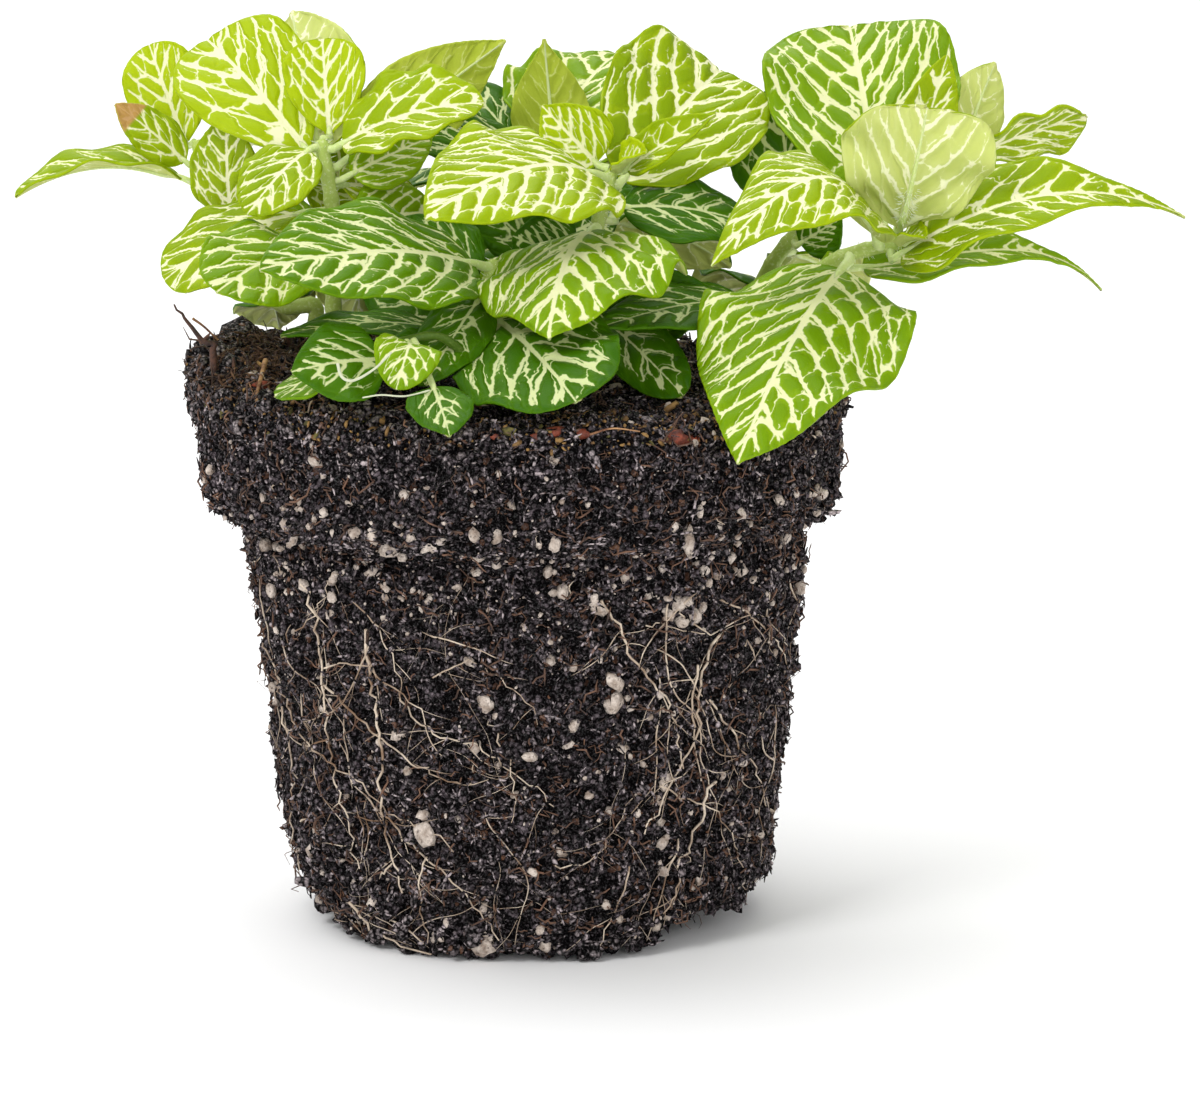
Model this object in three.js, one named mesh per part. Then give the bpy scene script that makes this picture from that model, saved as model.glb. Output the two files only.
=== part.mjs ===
// A nerve plant (Fittonia) lifted out of its pot: a bare, pot-shaped root ball
// with soft stems and variegated leaves. Millimetres, +Z up.
// The origin is the centre of the root ball's flat foot; +X is the plant's long
// side, +Y is its back.
import * as THREE from "three";

// ---------------------------------------------------------------------------
// Driving dimensions
// ---------------------------------------------------------------------------
const GAP = 0.3;                // clearance kept between neighbouring pieces

const BALL_HEIGHT = 95;         // soil level at the rim
const FLAT_FOOT_RADIUS = 30;    // part of the underside that stays flat
const FOOT_RADIUS = 41.5;
const WAIST_RADIUS = 50.4;      // just under the collar
const COLLAR_FOOT = 73;         // the rim of the lost pot pressed this step in
const COLLAR_RADIUS = 54.8;
const RIM_RADIUS = 57.5;
const BALL_LEAN = -2.5;         // how far the rim's centre sits off the foot's, along X
const BALL_SIDES = 40;
const FOOT_EDGE = 3;            // height of the foot's rounded edge
const RIM_EDGE = 2.5;           // and of the rim's
const CROWN_HEIGHT = 2.5;       // the soil rises this much from its rim to its middle
const RIPPLE_HEIGHT = 0.5;

const MOUND = { x: -50, y: 5, height: 8, spread: 14 };   // heap of soil at the rim

const STEM_RADIUS = 1.6;
const STEM_SIDES = 8;
const PETIOLE_HALF_WIDTH = 1;
const PETIOLE_HALF_THICKNESS = 0.8;
const BLADE_HALF_THICKNESS = 0.3;
const TIP_HALF_WIDTH = 0.4;
const SMALL_LEAF = 16;          // blades narrower than this get the coarser grid
const LARGE_GRID = { along: 8, across: 4 };
const SMALL_GRID = { along: 6, across: 2 };

// ---------------------------------------------------------------------------
// Materials
// ---------------------------------------------------------------------------
const material = (color, roughness) => new THREE.MeshStandardMaterial({ color, roughness, metalness: 0 });
const soil = material("#2b2426", 0.95);
const bark = material("#5a3d2b", 0.85);
const stemGreen = material("#a9c46a", 0.6);
const leafGreens = {
  lime: material("#9cc40f", 0.45),
  mid: material("#6fa81c", 0.45),
  deep: material("#3d7a1d", 0.45),
};

// ---------------------------------------------------------------------------
// Root ball
// ---------------------------------------------------------------------------
const smooth = (low, high, value) => THREE.MathUtils.smoothstep(value, low, high);

// Height of the soil's surface over a point of the plan.
function soilHeight(x, y) {
  const fromMound = (x - MOUND.x) ** 2 + (y - MOUND.y) ** 2;
  const mound = MOUND.height * Math.exp(-fromMound / (2 * MOUND.spread ** 2));
  const crown = CROWN_HEIGHT * (1 - (x * x + y * y) / RIM_RADIUS ** 2);
  const ripple = RIPPLE_HEIGHT * Math.sin(x / 9 + 1) * Math.cos(y / 8);
  return BALL_HEIGHT + crown + mound + ripple - 0.02 * x;
}

// How much the underside has crumbled away, by the angle from the front.
function crumbled(angle) {
  const right = 4 * smooth(0.5, 0.8, angle) * (1 - smooth(2.4, 2.8, angle));
  const left = 3.5 * smooth(0.9, 1.2, -angle) * (1 - smooth(2.2, 2.6, -angle));
  return right + left;
}

function rootBall() {
  const profile = [
    [0, 0], [FLAT_FOOT_RADIUS, 0], [FOOT_RADIUS - 2, 0], [FOOT_RADIUS, FOOT_EDGE],
    [44.2, 24], [47.2, 48], [WAIST_RADIUS, COLLAR_FOOT - 1], [COLLAR_RADIUS, COLLAR_FOOT + 0.5],
    [56.2, 84], [RIM_RADIUS, BALL_HEIGHT - RIM_EDGE], [RIM_RADIUS - 1.2, BALL_HEIGHT],
    [48, BALL_HEIGHT], [38, BALL_HEIGHT], [28, BALL_HEIGHT], [18, BALL_HEIGHT], [9, BALL_HEIGHT],
    [0, BALL_HEIGHT],
  ].map(([radius, height]) => new THREE.Vector2(radius, height));
  const geometry = new THREE.LatheGeometry(profile, BALL_SIDES);
  geometry.rotateX(Math.PI / 2);
  const place = geometry.attributes.position;
  for (let i = 0; i < place.count; i++) {
    let [x, y, z] = [place.getX(i), place.getY(i), place.getZ(i)];
    const radius = Math.hypot(x, y);
    const angle = Math.atan2(x, -y);
    if (z <= FOOT_EDGE && radius > FLAT_FOOT_RADIUS + 1) {
      z += crumbled(angle);
    } else if (z >= BALL_HEIGHT - RIM_EDGE) {
      z += soilHeight(x + BALL_LEAN, y) - BALL_HEIGHT;
    } else if (z > FOOT_EDGE) {
      const dent = 1 + 0.008 * Math.sin(5 * angle + z / 9) + 0.006 * Math.sin(9 * angle - z / 7);
      x *= dent;
      y *= dent;
    }
    x += BALL_LEAN * (Math.min(z, BALL_HEIGHT) / BALL_HEIGHT) ** 2;
    place.setXYZ(i, x, y, z);
  }
  return geometry;
}

// ---------------------------------------------------------------------------
// Stems
// ---------------------------------------------------------------------------
// Each stem leaves the soil at its first [x, y] and passes through the rest.
const stemRoutes = {
  left: [[-34, -9], [-34, -8, 112], [-34, -6, 124], [-36, -5, 137]],
  far_left: [[-38, 9], [-44, 10, 106], [-54, 12, 119], [-59, 18, 134]],
  front: [[-8, -20], [-8, -20, 106], [-6, -18, 118]],
  creeping: [[-9, -32], [-10, -35, 103], [-15, -39, 108], [-24, -43, 107]],
  centre: [[8, -8], [9, -8, 108], [11, -8, 120], [14, -6, 132]],
  right: [[40, -3], [43, -4, 106], [52, -7, 116], [64, -10, 120]],
  right_back: [[38, 16], [42, 15, 112], [55, 12, 125], [76, 7, 131]],
  back: [[4, 24], [4, 25, 112], [2, 28, 134]],
  back_left: [[-24, 24], [-26, 26, 112], [-30, 30, 128]],
};

function stemCurve(route) {
  const [foot, ...rest] = route;
  const start = new THREE.Vector3(foot[0], foot[1], soilHeight(...foot) + 1.5 * GAP);
  const up = start.clone().add(new THREE.Vector3(0, 0, 3));
  return new THREE.CatmullRomCurve3([start, up, ...rest.map((p) => new THREE.Vector3(...p))]);
}

const stemCurves = Object.fromEntries(
  Object.entries(stemRoutes).map(([name, route]) => [name, stemCurve(route)]));

function tube(curve, radius, steps, sides = STEM_SIDES) {
  const section = new THREE.Shape().absarc(0, 0, radius, 0, 2 * Math.PI);
  return new THREE.ExtrudeGeometry(section, { extrudePath: curve, steps, curveSegments: sides / 2 });
}

// A broken bit of dry twig stands in the soil beside the mound.
const TWIG_RADIUS = 0.7;
const TWIG_ROUTE = [[-53, -13], [-55, -13, 105], [-59, -12, 110]];
const TWIG_SIDES = 6;

// ---------------------------------------------------------------------------
// Leaves
// ---------------------------------------------------------------------------
// name, stem, share of the stem's length, tip, blade width, way the upper side faces,
// arch of the midrib at its thirds, cup of the blade (edges up), petiole share, colour
const leafRows = [
  // left shoot
  ["left_1", "left", 0.92, [-57, 12, 157], 23, [0, -8, 5], [1, 2], 0.15, 0.12, "lime"],
  ["left_2", "left", 1, [-36, 1, 154], 14, [0, -10, 1], [1, 1], 0.1, 0.1, "lime"],
  ["left_3", "left", 0.97, [-46, -19, 125], 13, [-2, -9, 5], [3, 2], 0, 0.1, "lime"],
  ["left_4", "left", 0.95, [-8, -12, 145], 18, [0, -6, 8], [3, 3], 0.05, 0.15, "lime"],
  ["left_5", "left", 0.88, [-42, 24, 156], 23, [0, 9, 4], [-1, -1], 0, 0.15, "lime"],
  ["left_6", "left", 0.86, [-5, 24, 151], 14, [0, 8, 5], [1, 1], 0, 0.2, "lime"],
  ["left_7", "left", 0.78, [-20, 13, 126], 12, [0, 8, 5], [1, 1], 0, 0.2, "lime"],
  ["left_8", "left", 0.67, [-62, -11, 115], 18, [-2, -6, 8], [5, 4], 0, 0.25, "mid"],
  ["left_9", "left", 0.36, [-52, -40, 112], 18, [-1, -7, 7], [3, 3], 0, 0.2, "mid"],
  // far left shoot
  ["far_left_1", "far_left", 0.95, [-68, 28, 150], 13, [-1, -9, 3], [1, 1], 0.1, 0.12, "lime"],
  ["far_left_2", "far_left", 0.9, [-73, 15, 138], 9, [-2, -6, 7], [1, 1], 0, 0.15, "lime"],
  ["far_left_3", "far_left", 0.82, [-91, 8, 127], 12, [0, -1, 10], [6, 5], 0, 0.2, "lime"],
  ["far_left_4", "far_left", 0.6, [-53, 4, 140], 14, [-3, -9, 1], [1, 1], 0.1, 0.15, "mid"],
  // front
  ["front_1", "front", 0.93, [-44, -50, 120], 26, [0, -7, 8], [5, 5], 0.05, 0.12, "mid"],
  ["front_2", "front", 0.55, [10, -58, 98], 27, [1, -9, 5], [2, 3], 0, 0.25, "deep"],
  ["front_3", "front", 0.35, [-42, -30, 107], 13, [0, -2, 10], [4, 3], 0, 0.3, "deep"],
  // centre shoot
  ["centre_1", "centre", 0.93, [32, 16, 151], 29, [1, -9, 5], [1, 3], 0.15, 0.12, "mid"],
  ["centre_2", "centre", 1, [2, -6, 143], 13, [-3, -8, 5], [1, 1], 0.1, 0.1, "lime"],
  ["centre_3", "centre", 1, [30, -14, 141], 11, [2, -7, 7], [1, 1], 0.1, 0.1, "lime"],
  ["centre_4", "centre", 0.95, [-17, -40, 129], 28, [-1, -8, 6], [7, 6], 0, 0.1, "lime"],
  ["centre_5", "centre", 0.7, [5, -50, 111], 34, [-2, -4, 9], [5, 5], -0.1, 0.12, "mid"],
  ["centre_6", "centre", 0.75, [35, 2, 114], 16, [0, 8, 5], [4, 5], 0, 0.15, "deep"],
  ["centre_7", "centre", 0.82, [39, -5, 122], 16, [0, -6, 8], [3, 3], 0, 0.15, "deep"],
  ["centre_8", "centre", 0.14, [22, -18, 107], 11, [1, -9, 2], [0, 0], 0, 0.25, "deep"],
  ["centre_9", "centre", 0.3, [26, -32, 97], 12, [1, -9, 4], [3, 2], 0, 0.2, "deep"],
  ["centre_10", "centre", 0.4, [-12, -4, 130], 11, [-1, -9, 3], [-2, 0], 0, 0.4, "deep"],
  // right shoot
  ["right_1", "right", 0.92, [56, 24, 155], 34, [0, -9, 5], [1, 2], 0.15, 0.28, "mid"],
  ["right_2", "right", 1, [67, -26, 145], 26, [0, 9, 2], [-4, -3], 0, 0.2, "lime"],
  ["right_3", "right", 0.94, [112, -24, 128], 20, [-1, -6, 9], [9, 8], 0, 0.1, "mid"],
  ["right_4", "right", 0.88, [101, 0, 110], 15, [0, -3, 9], [5, 6], 0, 0.15, "mid"],
  ["right_5", "right", 0.9, [31, -35, 119], 22, [-2, -6, 8], [19, 17], 0, 0.12, "lime"],
  ["right_6", "right", 0.75, [35, -56, 90], 32, [-1, -7, 7], [6, 6], 0, 0.15, "lime"],
  ["right_7", "right", 0.3, [12, -34, 109], 16, [-1, -5, 8], [9, 5], 0, 0.15, "deep"],
  ["right_8", "right", 0.98, [72, 1, 151], 11, [1, -9, 2], [0, 0], 0.1, 0.4, "mid"],
  // right back shoot
  ["right_back_1", "right_back", 0.97, [81, 16, 148], 11, [-1, -8, 3], [0, 0], 0.1, 0.12, "lime"],
  ["right_back_2", "right_back", 1, [98, 10, 138], 14, [0, 6, 7], [2, 2], 0, 0.15, "lime"],
  ["right_back_3", "right_back", 0.45, [43, 20, 144], 20, [0, -9, 3], [0, 0], 0.1, 0.2, "deep"],
  ["right_back_4", "right_back", 0.4, [54, 6, 122], 10, [0, -9, 2], [0, 0], 0, 0.2, "deep"],
  ["right_back_5", "right_back", 0.6, [62, 46, 124], 22, [0, 5, 9], [5, 5], 0, 0.15, "mid"],
  // back shoots
  ["back_1", "back", 0.97, [10, 54, 146], 26, [0, -5, 8], [2, 2], 0.1, 0.12, "deep"],
  ["back_2", "back", 0.87, [-21, 4, 131], 18, [0, -7, 7], [3, 2], 0, 0.15, "deep"],
  ["back_3", "back", 0.55, [12, 54, 118], 24, [0, 5, 9], [6, 6], 0, 0.15, "deep"],
  ["back_4", "back", 0.72, [34, 48, 130], 21, [1, 5, 9], [5, 4], 0, 0.2, "mid"],
  ["back_left_1", "back_left", 0.95, [-52, 48, 130], 22, [0, 4, 9], [5, 5], 0, 0.15, "mid"],
  ["back_left_2", "back_left", 0.8, [-22, 55, 121], 22, [0, 5, 9], [5, 5], 0, 0.15, "deep"],
  // creeping shoot
  ["creeping_1", "creeping", 1, [-39, -51, 104], 15, [-1, -8, 5], [2, 2], 0, 0.2, "deep"],
  ["creeping_2", "creeping", 0.88, [-24, -55, 99], 9, [0, -7, 7], [2, 2], 0, 0.1, "lime"],
  ["creeping_3", "creeping", 0.9, [-44, -38, 99], 12, [0, -2, 10], [1, 1], 0, 0.2, "mid"],
  ["creeping_4", "creeping", 0.5, [-11, -66, 96], 11, [0, -6, 8], [3, 2], 0, 0.25, "deep"],
];

// Half of the blade's width at a share of its length, as a share of its widest.
const BLADE_RISE = 0.55;
const BLADE_FALL = 0.7;
const BLADE_PEAK = BLADE_RISE / (BLADE_RISE + BLADE_FALL);
function bladeOutline(share) {
  const rise = (share / BLADE_PEAK) ** BLADE_RISE;
  const fall = ((1 - share) / (1 - BLADE_PEAK)) ** BLADE_FALL;
  return rise * fall;
}

// The petiole starts just off the stem's skin, on the side that the leaf goes to.
function leafSeat(curve, share, tip) {
  const axis = curve.getPointAt(share);
  const along = curve.getTangentAt(share);
  const reach = tip.clone().sub(axis);
  const lean = Math.abs(reach.clone().normalize().dot(along));
  const out = reach.addScaledVector(along, -reach.dot(along)).normalize();
  const room = STEM_RADIUS + GAP + PETIOLE_HALF_WIDTH * lean;
  return axis.addScaledVector(out, room);
}

// A leaf is a box, bent along its midrib: x runs along it, y across and z through it.
// The first cells along x are the petiole, and the rest crowd towards the blade's ends.
function leaf(stem, share, tipAt, width, facing, arch, cup, petiole) {
  const tip = new THREE.Vector3(...tipAt);
  const base = leafSeat(stemCurves[stem], share, tip);
  const chord = tip.clone().sub(base);
  const across = new THREE.Vector3(...facing).cross(chord).normalize();
  const normal = chord.clone().cross(across).normalize();
  const bend = (third) => base.clone()
    .addScaledVector(chord, third / 3)
    .addScaledVector(normal, arch[third - 1]);
  const midrib = new THREE.CubicBezierCurve3(base, bend(1), bend(2), tip);

  const cells = width < SMALL_LEAF ? SMALL_GRID : LARGE_GRID;
  const geometry = new THREE.BoxGeometry(1, 2, 2, cells.along, cells.across, 1);
  const place = geometry.attributes.position;
  for (let i = 0; i < place.count; i++) {
    const step = Math.round((place.getX(i) + 0.5) * cells.along);
    const side = place.getY(i);
    const layer = place.getZ(i);
    const turn = Math.PI * Math.max(step - 1, 0) / (cells.along - 1);
    const bladeShare = (1 - Math.cos(turn)) / 2;
    const along = step === 0 ? 0 : petiole + (1 - petiole) * bladeShare;
    const least = THREE.MathUtils.lerp(PETIOLE_HALF_WIDTH, TIP_HALF_WIDTH, bladeShare);
    const half = Math.max(width / 2 * bladeOutline(bladeShare), least);
    const thick = step < 2 ? PETIOLE_HALF_THICKNESS : BLADE_HALF_THICKNESS;
    const rise = cup * half * side * side + thick * layer;
    const up = midrib.getTangent(along).cross(across);
    const point = midrib.getPoint(along)
      .addScaledVector(across, half * side)
      .addScaledVector(up, rise);
    place.setXYZ(i, point.x, point.y, point.z);
  }
  return geometry;
}

// ---------------------------------------------------------------------------
// The plant
// ---------------------------------------------------------------------------
const group = new THREE.Group();

function add(name, geometry, look) {
  const mesh = new THREE.Mesh(geometry, look);
  mesh.name = name;
  group.add(mesh);
}

add("root_ball", rootBall(), soil);

for (const [name, curve] of Object.entries(stemCurves)) {
  add(`stem_${name}`, tube(curve, STEM_RADIUS, Math.round(curve.getLength() / 4)), stemGreen);
}

add("twig", tube(stemCurve(TWIG_ROUTE), TWIG_RADIUS, 5, TWIG_SIDES), bark);

for (const [name, stem, share, tip, width, facing, arch, cup, petiole, green] of leafRows) {
  add(`leaf_${name}`, leaf(stem, share, tip, width, facing, arch, cup, petiole), leafGreens[green]);
}

export default group;
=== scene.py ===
"""A nerve plant lifted out of its pot: a bare ball of peat, perlite and roots with variegated leaves.

Shapes are worked out in millimetres, as in the part's own source, and go into the meshes in metres.
"""
import math
import random
from functools import partial

import bpy
import numpy as np
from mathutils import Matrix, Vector
from mathutils.bvhtree import BVHTree


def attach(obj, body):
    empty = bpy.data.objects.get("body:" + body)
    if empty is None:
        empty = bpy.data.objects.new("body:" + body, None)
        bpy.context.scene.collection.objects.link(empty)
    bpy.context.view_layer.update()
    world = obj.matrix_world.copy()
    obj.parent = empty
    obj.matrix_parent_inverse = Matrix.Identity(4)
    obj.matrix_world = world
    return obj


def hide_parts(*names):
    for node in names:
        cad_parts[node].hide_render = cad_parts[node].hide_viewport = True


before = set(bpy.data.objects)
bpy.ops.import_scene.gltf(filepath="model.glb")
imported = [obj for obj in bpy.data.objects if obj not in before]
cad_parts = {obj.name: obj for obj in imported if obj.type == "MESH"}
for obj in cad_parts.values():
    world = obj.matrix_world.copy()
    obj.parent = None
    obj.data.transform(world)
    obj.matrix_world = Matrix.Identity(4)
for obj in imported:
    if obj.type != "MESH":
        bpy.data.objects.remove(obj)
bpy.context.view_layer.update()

MM = 0.001

# ---------------------------------------------------------------------------
# Camera: 1000 mm from a point above the ball's foot, 11 degrees above the horizon
# ---------------------------------------------------------------------------
TARGET = np.array([12.0, 0.0, 63.0])
DISTANCE = 1000.0
ELEVATION = math.radians(11)
FOCAL_PIXELS = 5700.0
SENSOR_WIDTH = 36
CLIP_START = 0.05
PHOTO_WIDTH, PHOTO_HEIGHT = 1200, 1112

camera_place = TARGET + DISTANCE * np.array([0, -math.cos(ELEVATION), math.sin(ELEVATION)])


def place_camera():
    data = bpy.data.cameras.new("camera")
    data.sensor_width = SENSOR_WIDTH
    data.lens = FOCAL_PIXELS / PHOTO_WIDTH * SENSOR_WIDTH
    data.clip_start = CLIP_START
    camera = bpy.data.objects.new("camera", data)
    camera.location = camera_place * MM
    camera.rotation_euler = (math.pi / 2 - ELEVATION, 0, 0)
    bpy.context.scene.collection.objects.link(camera)
    bpy.context.scene.camera = camera


def sight_line(px, py):
    """The direction in which the camera sees a pixel of the photograph."""
    right = np.array([1.0, 0, 0])
    forward = (TARGET - camera_place) / DISTANCE
    up = np.cross(right, forward)
    line = forward + right * (px - PHOTO_WIDTH / 2) / FOCAL_PIXELS
    line = line + up * (PHOTO_HEIGHT / 2 - py) / FOCAL_PIXELS
    return line / np.linalg.norm(line)


def on_sight_line(px, py, depth):
    """The point that the camera sees at a pixel on the upright plane y = depth."""
    line = sight_line(px, py)
    return camera_place + line * (depth - camera_place[1]) / line[1]


# ---------------------------------------------------------------------------
# Working with the modeller
# ---------------------------------------------------------------------------
def clear_selection():
    if bpy.context.object and bpy.context.object.mode != "OBJECT":
        bpy.ops.object.mode_set(mode="OBJECT")
    bpy.ops.object.select_all(action="DESELECT")


def choose(*objs):
    """Selects these objects alone, the last one active."""
    clear_selection()
    for obj in objs:
        obj.select_set(True)
    bpy.context.view_layer.objects.active = objs[-1]


def fresh(name, operator, **settings):
    """Adds a primitive with nothing else selected and names it."""
    clear_selection()
    operator(**settings)
    made = bpy.context.object
    made.name = name
    made.data.name = name
    return made


def modify(obj, kind, **settings):
    """Adds a modifier and applies it."""
    choose(obj)
    modifier = obj.modifiers.new(kind.lower(), kind)
    for key, value in settings.items():
        setattr(modifier, key, value)
    bpy.ops.object.modifier_apply(modifier=modifier.name)


def vertices(mesh):
    flat = np.empty(len(mesh.vertices) * 3)
    mesh.vertices.foreach_get("co", flat)
    return flat.reshape(-1, 3)


def set_vertices(mesh, places):
    mesh.vertices.foreach_set("co", np.asarray(places, float).ravel())
    mesh.update()


def mark(mesh, name, values):
    """Gives each vertex a number, or three, that the materials read."""
    values = np.asarray(values, float)
    kind = "FLOAT_VECTOR" if values.ndim == 2 else "FLOAT"
    layer = mesh.attributes.new(name, kind, "POINT")
    layer.data.foreach_set("vector" if values.ndim == 2 else "value", values.ravel())


def part_of_plant(piece, finish, slot, *stands_for, smooth=True):
    """Shades a finished piece, gives it its finishes if it has none and joins it to the plant."""
    choose(piece)
    bpy.ops.object.transform_apply(location=True, rotation=True, scale=True)
    shade = bpy.ops.object.shade_smooth if smooth else bpy.ops.object.shade_flat
    shade()
    if finish:
        piece.data.materials.clear()
        for material in finish:
            piece.data.materials.append(material)
    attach(piece, "root")
    if stands_for:
        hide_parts(*stands_for)
    return piece


def strands(name, lines, round_steps=1):
    """One mesh of round strands, kept above the floor. Each line is its points and its radii, in mm."""
    clear_selection()
    data = bpy.data.curves.new(name, "CURVE")
    data.dimensions = "3D"
    data.bevel_depth = MM
    data.bevel_resolution = round_steps
    data.use_fill_caps = True
    for points, radii in lines:
        spline = data.splines.new("POLY")
        spline.points.add(len(points) - 1)
        points = np.array(points, float)
        points[:, 2] = np.maximum(points[:, 2], radii)
        rows = np.column_stack([points * MM, np.ones(len(points))])
        spline.points.foreach_set("co", rows.ravel())
        spline.points.foreach_set("radius", np.broadcast_to(radii, len(points)).astype(float))
    made = bpy.data.objects.new(name, data)
    bpy.context.scene.collection.objects.link(made)
    choose(made)
    bpy.ops.object.convert(target="MESH")
    return bpy.context.object


# ---------------------------------------------------------------------------
# Materials
# ---------------------------------------------------------------------------
def colour(code):
    """An sRGB hex code as linear red, green, blue and alpha."""
    parts = [int(code[i:i + 2], 16) / 255 for i in (1, 3, 5)]
    return (*[c / 12.92 if c <= 0.04045 else ((c + 0.055) / 1.055) ** 2.4 for c in parts], 1.0)


def feed(made, inputs):
    """Fills a node's sockets with values, with outputs, or with the output that another node gives first."""
    for socket, value in inputs.items():
        if isinstance(value, bpy.types.Node):
            value = next(out for out in value.outputs if out.enabled)
        if isinstance(value, bpy.types.NodeSocket):
            made.id_data.links.new(value, made.inputs[socket])
        else:
            made.inputs[socket].default_value = value


def node(tree, kind, inputs=None, **settings):
    """Adds a shader node with its settings and links."""
    made = tree.nodes.new("ShaderNode" + kind)
    for key, value in settings.items():
        setattr(made, key, value)
    feed(made, inputs or {})
    return made


def new_material(name, **settings):
    """A material, the way to add its nodes, and its Principled shader with these settings on its sockets."""
    material = bpy.data.materials.new(name)
    material.use_nodes = True
    shader = material.node_tree.nodes["Principled BSDF"]
    feed(shader, {key.replace("_", " "): value for key, value in settings.items()})
    return material, partial(node, material.node_tree), shader


def finish_surface(add, shader, base, bump_height, bump_mm):
    bump = add("Bump", {"Height": bump_height, "Strength": 1.0, "Distance": bump_mm * MM})
    feed(shader, {"Base Color": base, "Normal": bump})


PER_MM = 1000.0     # texture scale of a pattern that repeats every millimetre


def leaf_skin(name, dark, light, pale, vein_gain, contrast, gloss, puff_mm=0.28, plain_mm=1.0):
    """Fittonia leaf: a thin wet-looking green blade netted with cream veins that widen at their forks.

    The net is drawn in the leaf's own coordinates, so it follows the blade's bends. plain_mm is the
    width of the band at the margin that has no veins.
    """
    material, add, shader = new_material(
        name, Subsurface_Weight=0.08, Subsurface_Radius=(0.7, 1.0, 0.15), Subsurface_Scale=0.0006,
        IOR=1.33, Specular_IOR_Level=0.22)
    where = add("TexCoord").outputs["Object"]
    veins, zone, net_place = [
        add("Attribute", attribute_name=layer).outputs["Vector"] for layer in ("veins", "zone", "net")]
    mid, tau, pitch = add("SeparateXYZ", {0: veins}).outputs
    across, edge_mm, size = add("SeparateXYZ", {0: zone}).outputs
    row_mm = add("SeparateXYZ", {0: net_place}).outputs["Z"]

    # the net's cells are pushed about by a noise of 3 mm, so that no two are alike and no vein is straight
    drift = add("TexNoise", {"Vector": where, "Scale": PER_MM / 3, "Detail": 2.0})
    centred = add("VectorMath", {0: drift.outputs["Color"], 1: (0.5, 0.5, 0.5)}, operation="SUBTRACT")
    pushed = add("VectorMath", {0: centred, 1: (0.45, 0.8, 0.0)}, operation="MULTIPLY")
    net = add("VectorMath", {0: net_place, 1: pushed}, operation="ADD")

    # Cells with round corners, so that the veins widen at their forks: the difference between the sharp
    # and the smoothed distance is greatest at a fork, less on a border, and 0 inside a cell.
    cells = {"Vector": net, "Scale": 1.0, "Randomness": 0.72}
    sharp = add("TexVoronoi", cells, voronoi_dimensions="2D", feature="F1")
    soft = add("TexVoronoi", {**cells, "Smoothness": 1.0}, voronoi_dimensions="2D", feature="SMOOTH_F1")
    rise = add("Math", {0: sharp, 1: soft}, operation="SUBTRACT")
    rise = add("Math", {0: rise, 1: 8.0, 2: 0.03}, operation="MULTIPLY_ADD")
    rise = add("Math", {0: rise, 1: 0.0}, operation="MAXIMUM")
    rise = add("Math", {0: rise, 1: 0.5}, operation="POWER")
    apart = add("MapRange", {"Value": rise, 1: 0.0, 2: 2.0, 3: 0.25, 4: -0.25})
    net_mm = add("Math", {0: apart, 1: row_mm}, operation="MULTIPLY")

    # half width of the fine veins: thinner outwards, gone in the plain band at the margin
    margin = add("MapRange", {"Value": edge_mm, 1: plain_mm, 2: 0.3 * plain_mm, 3: 0.0, 4: 0.3 * plain_mm})
    fine = add("MapRange", {"Value": across, 1: 0.0, 2: 1.0, 3: 0.13, 4: 0.1})
    fine = add("Math", {0: fine, 1: size}, operation="MULTIPLY")
    in_fine = add("Math", {0: fine, 1: net_mm}, operation="SUBTRACT")
    in_fine = add("Math", {0: in_fine, 1: margin}, operation="SUBTRACT")

    # side veins: whole numbers of tau
    sway = add("SeparateXYZ", {0: centred}).outputs["X"]
    shifted = add("Math", {0: sway, 1: 0.45, 2: tau}, operation="MULTIPLY_ADD")
    wave = add("Math", {0: shifted, 1: 0.5}, operation="PINGPONG")
    side_mm = add("Math", {0: wave, 1: pitch}, operation="MULTIPLY")
    broad = add("MapRange", {"Value": across, 1: 0.0, 2: 1.0, 3: 0.5, 4: 0.2})
    broad = add("Math", {0: broad, 1: size}, operation="MULTIPLY")
    broad = add("Math", {0: broad, 1: margin}, operation="SUBTRACT")
    in_side = add("Math", {0: broad, 1: side_mm}, operation="SUBTRACT")

    # the net without its spurs, for what is softer than the veins' edges
    bold = add("Math", {0: in_fine, 1: in_side, 2: 0.6}, operation="SMOOTH_MAX")
    bold = add("Math", {0: bold, 1: mid, 2: 0.6}, operation="SMOOTH_MAX")

    # spurs: bits of a net twice as fine, more of them towards the margin. A spur is a barb on a vein:
    # none stands alone inside a cell.
    small = add("TexVoronoi", {"Vector": net, "Scale": 2.0, "Randomness": 0.7},
                voronoi_dimensions="2D", feature="DISTANCE_TO_EDGE")
    small_mm = add("Math", {0: small, 1: row_mm}, operation="MULTIPLY")
    spots = add("TexNoise", {"Vector": where, "Scale": PER_MM / 1.6, "Detail": 1.0})
    outwards = add("Math", {0: across, 1: 0.22, 2: spots}, operation="MULTIPLY_ADD")
    broken = add("MapRange", {"Value": outwards, 1: 0.56, 2: 0.76, 3: -0.5, 4: 0.14})
    thin = add("Math", {0: small_mm, 1: -0.6, 2: broken}, operation="MULTIPLY_ADD")
    spur = add("Math", {0: thin, 1: size}, operation="MULTIPLY")
    kept_in = add("MapRange", {"Value": edge_mm, 1: 2.5, 2: 1.0, 3: 0.0, 4: -0.5})
    in_spur = add("Math", {0: spur, 1: kept_in}, operation="ADD")
    beside = add("Math", {0: bold, 1: 0.55}, operation="ADD")
    in_spur = add("Math", {0: in_spur, 1: beside}, operation="MINIMUM")

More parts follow.
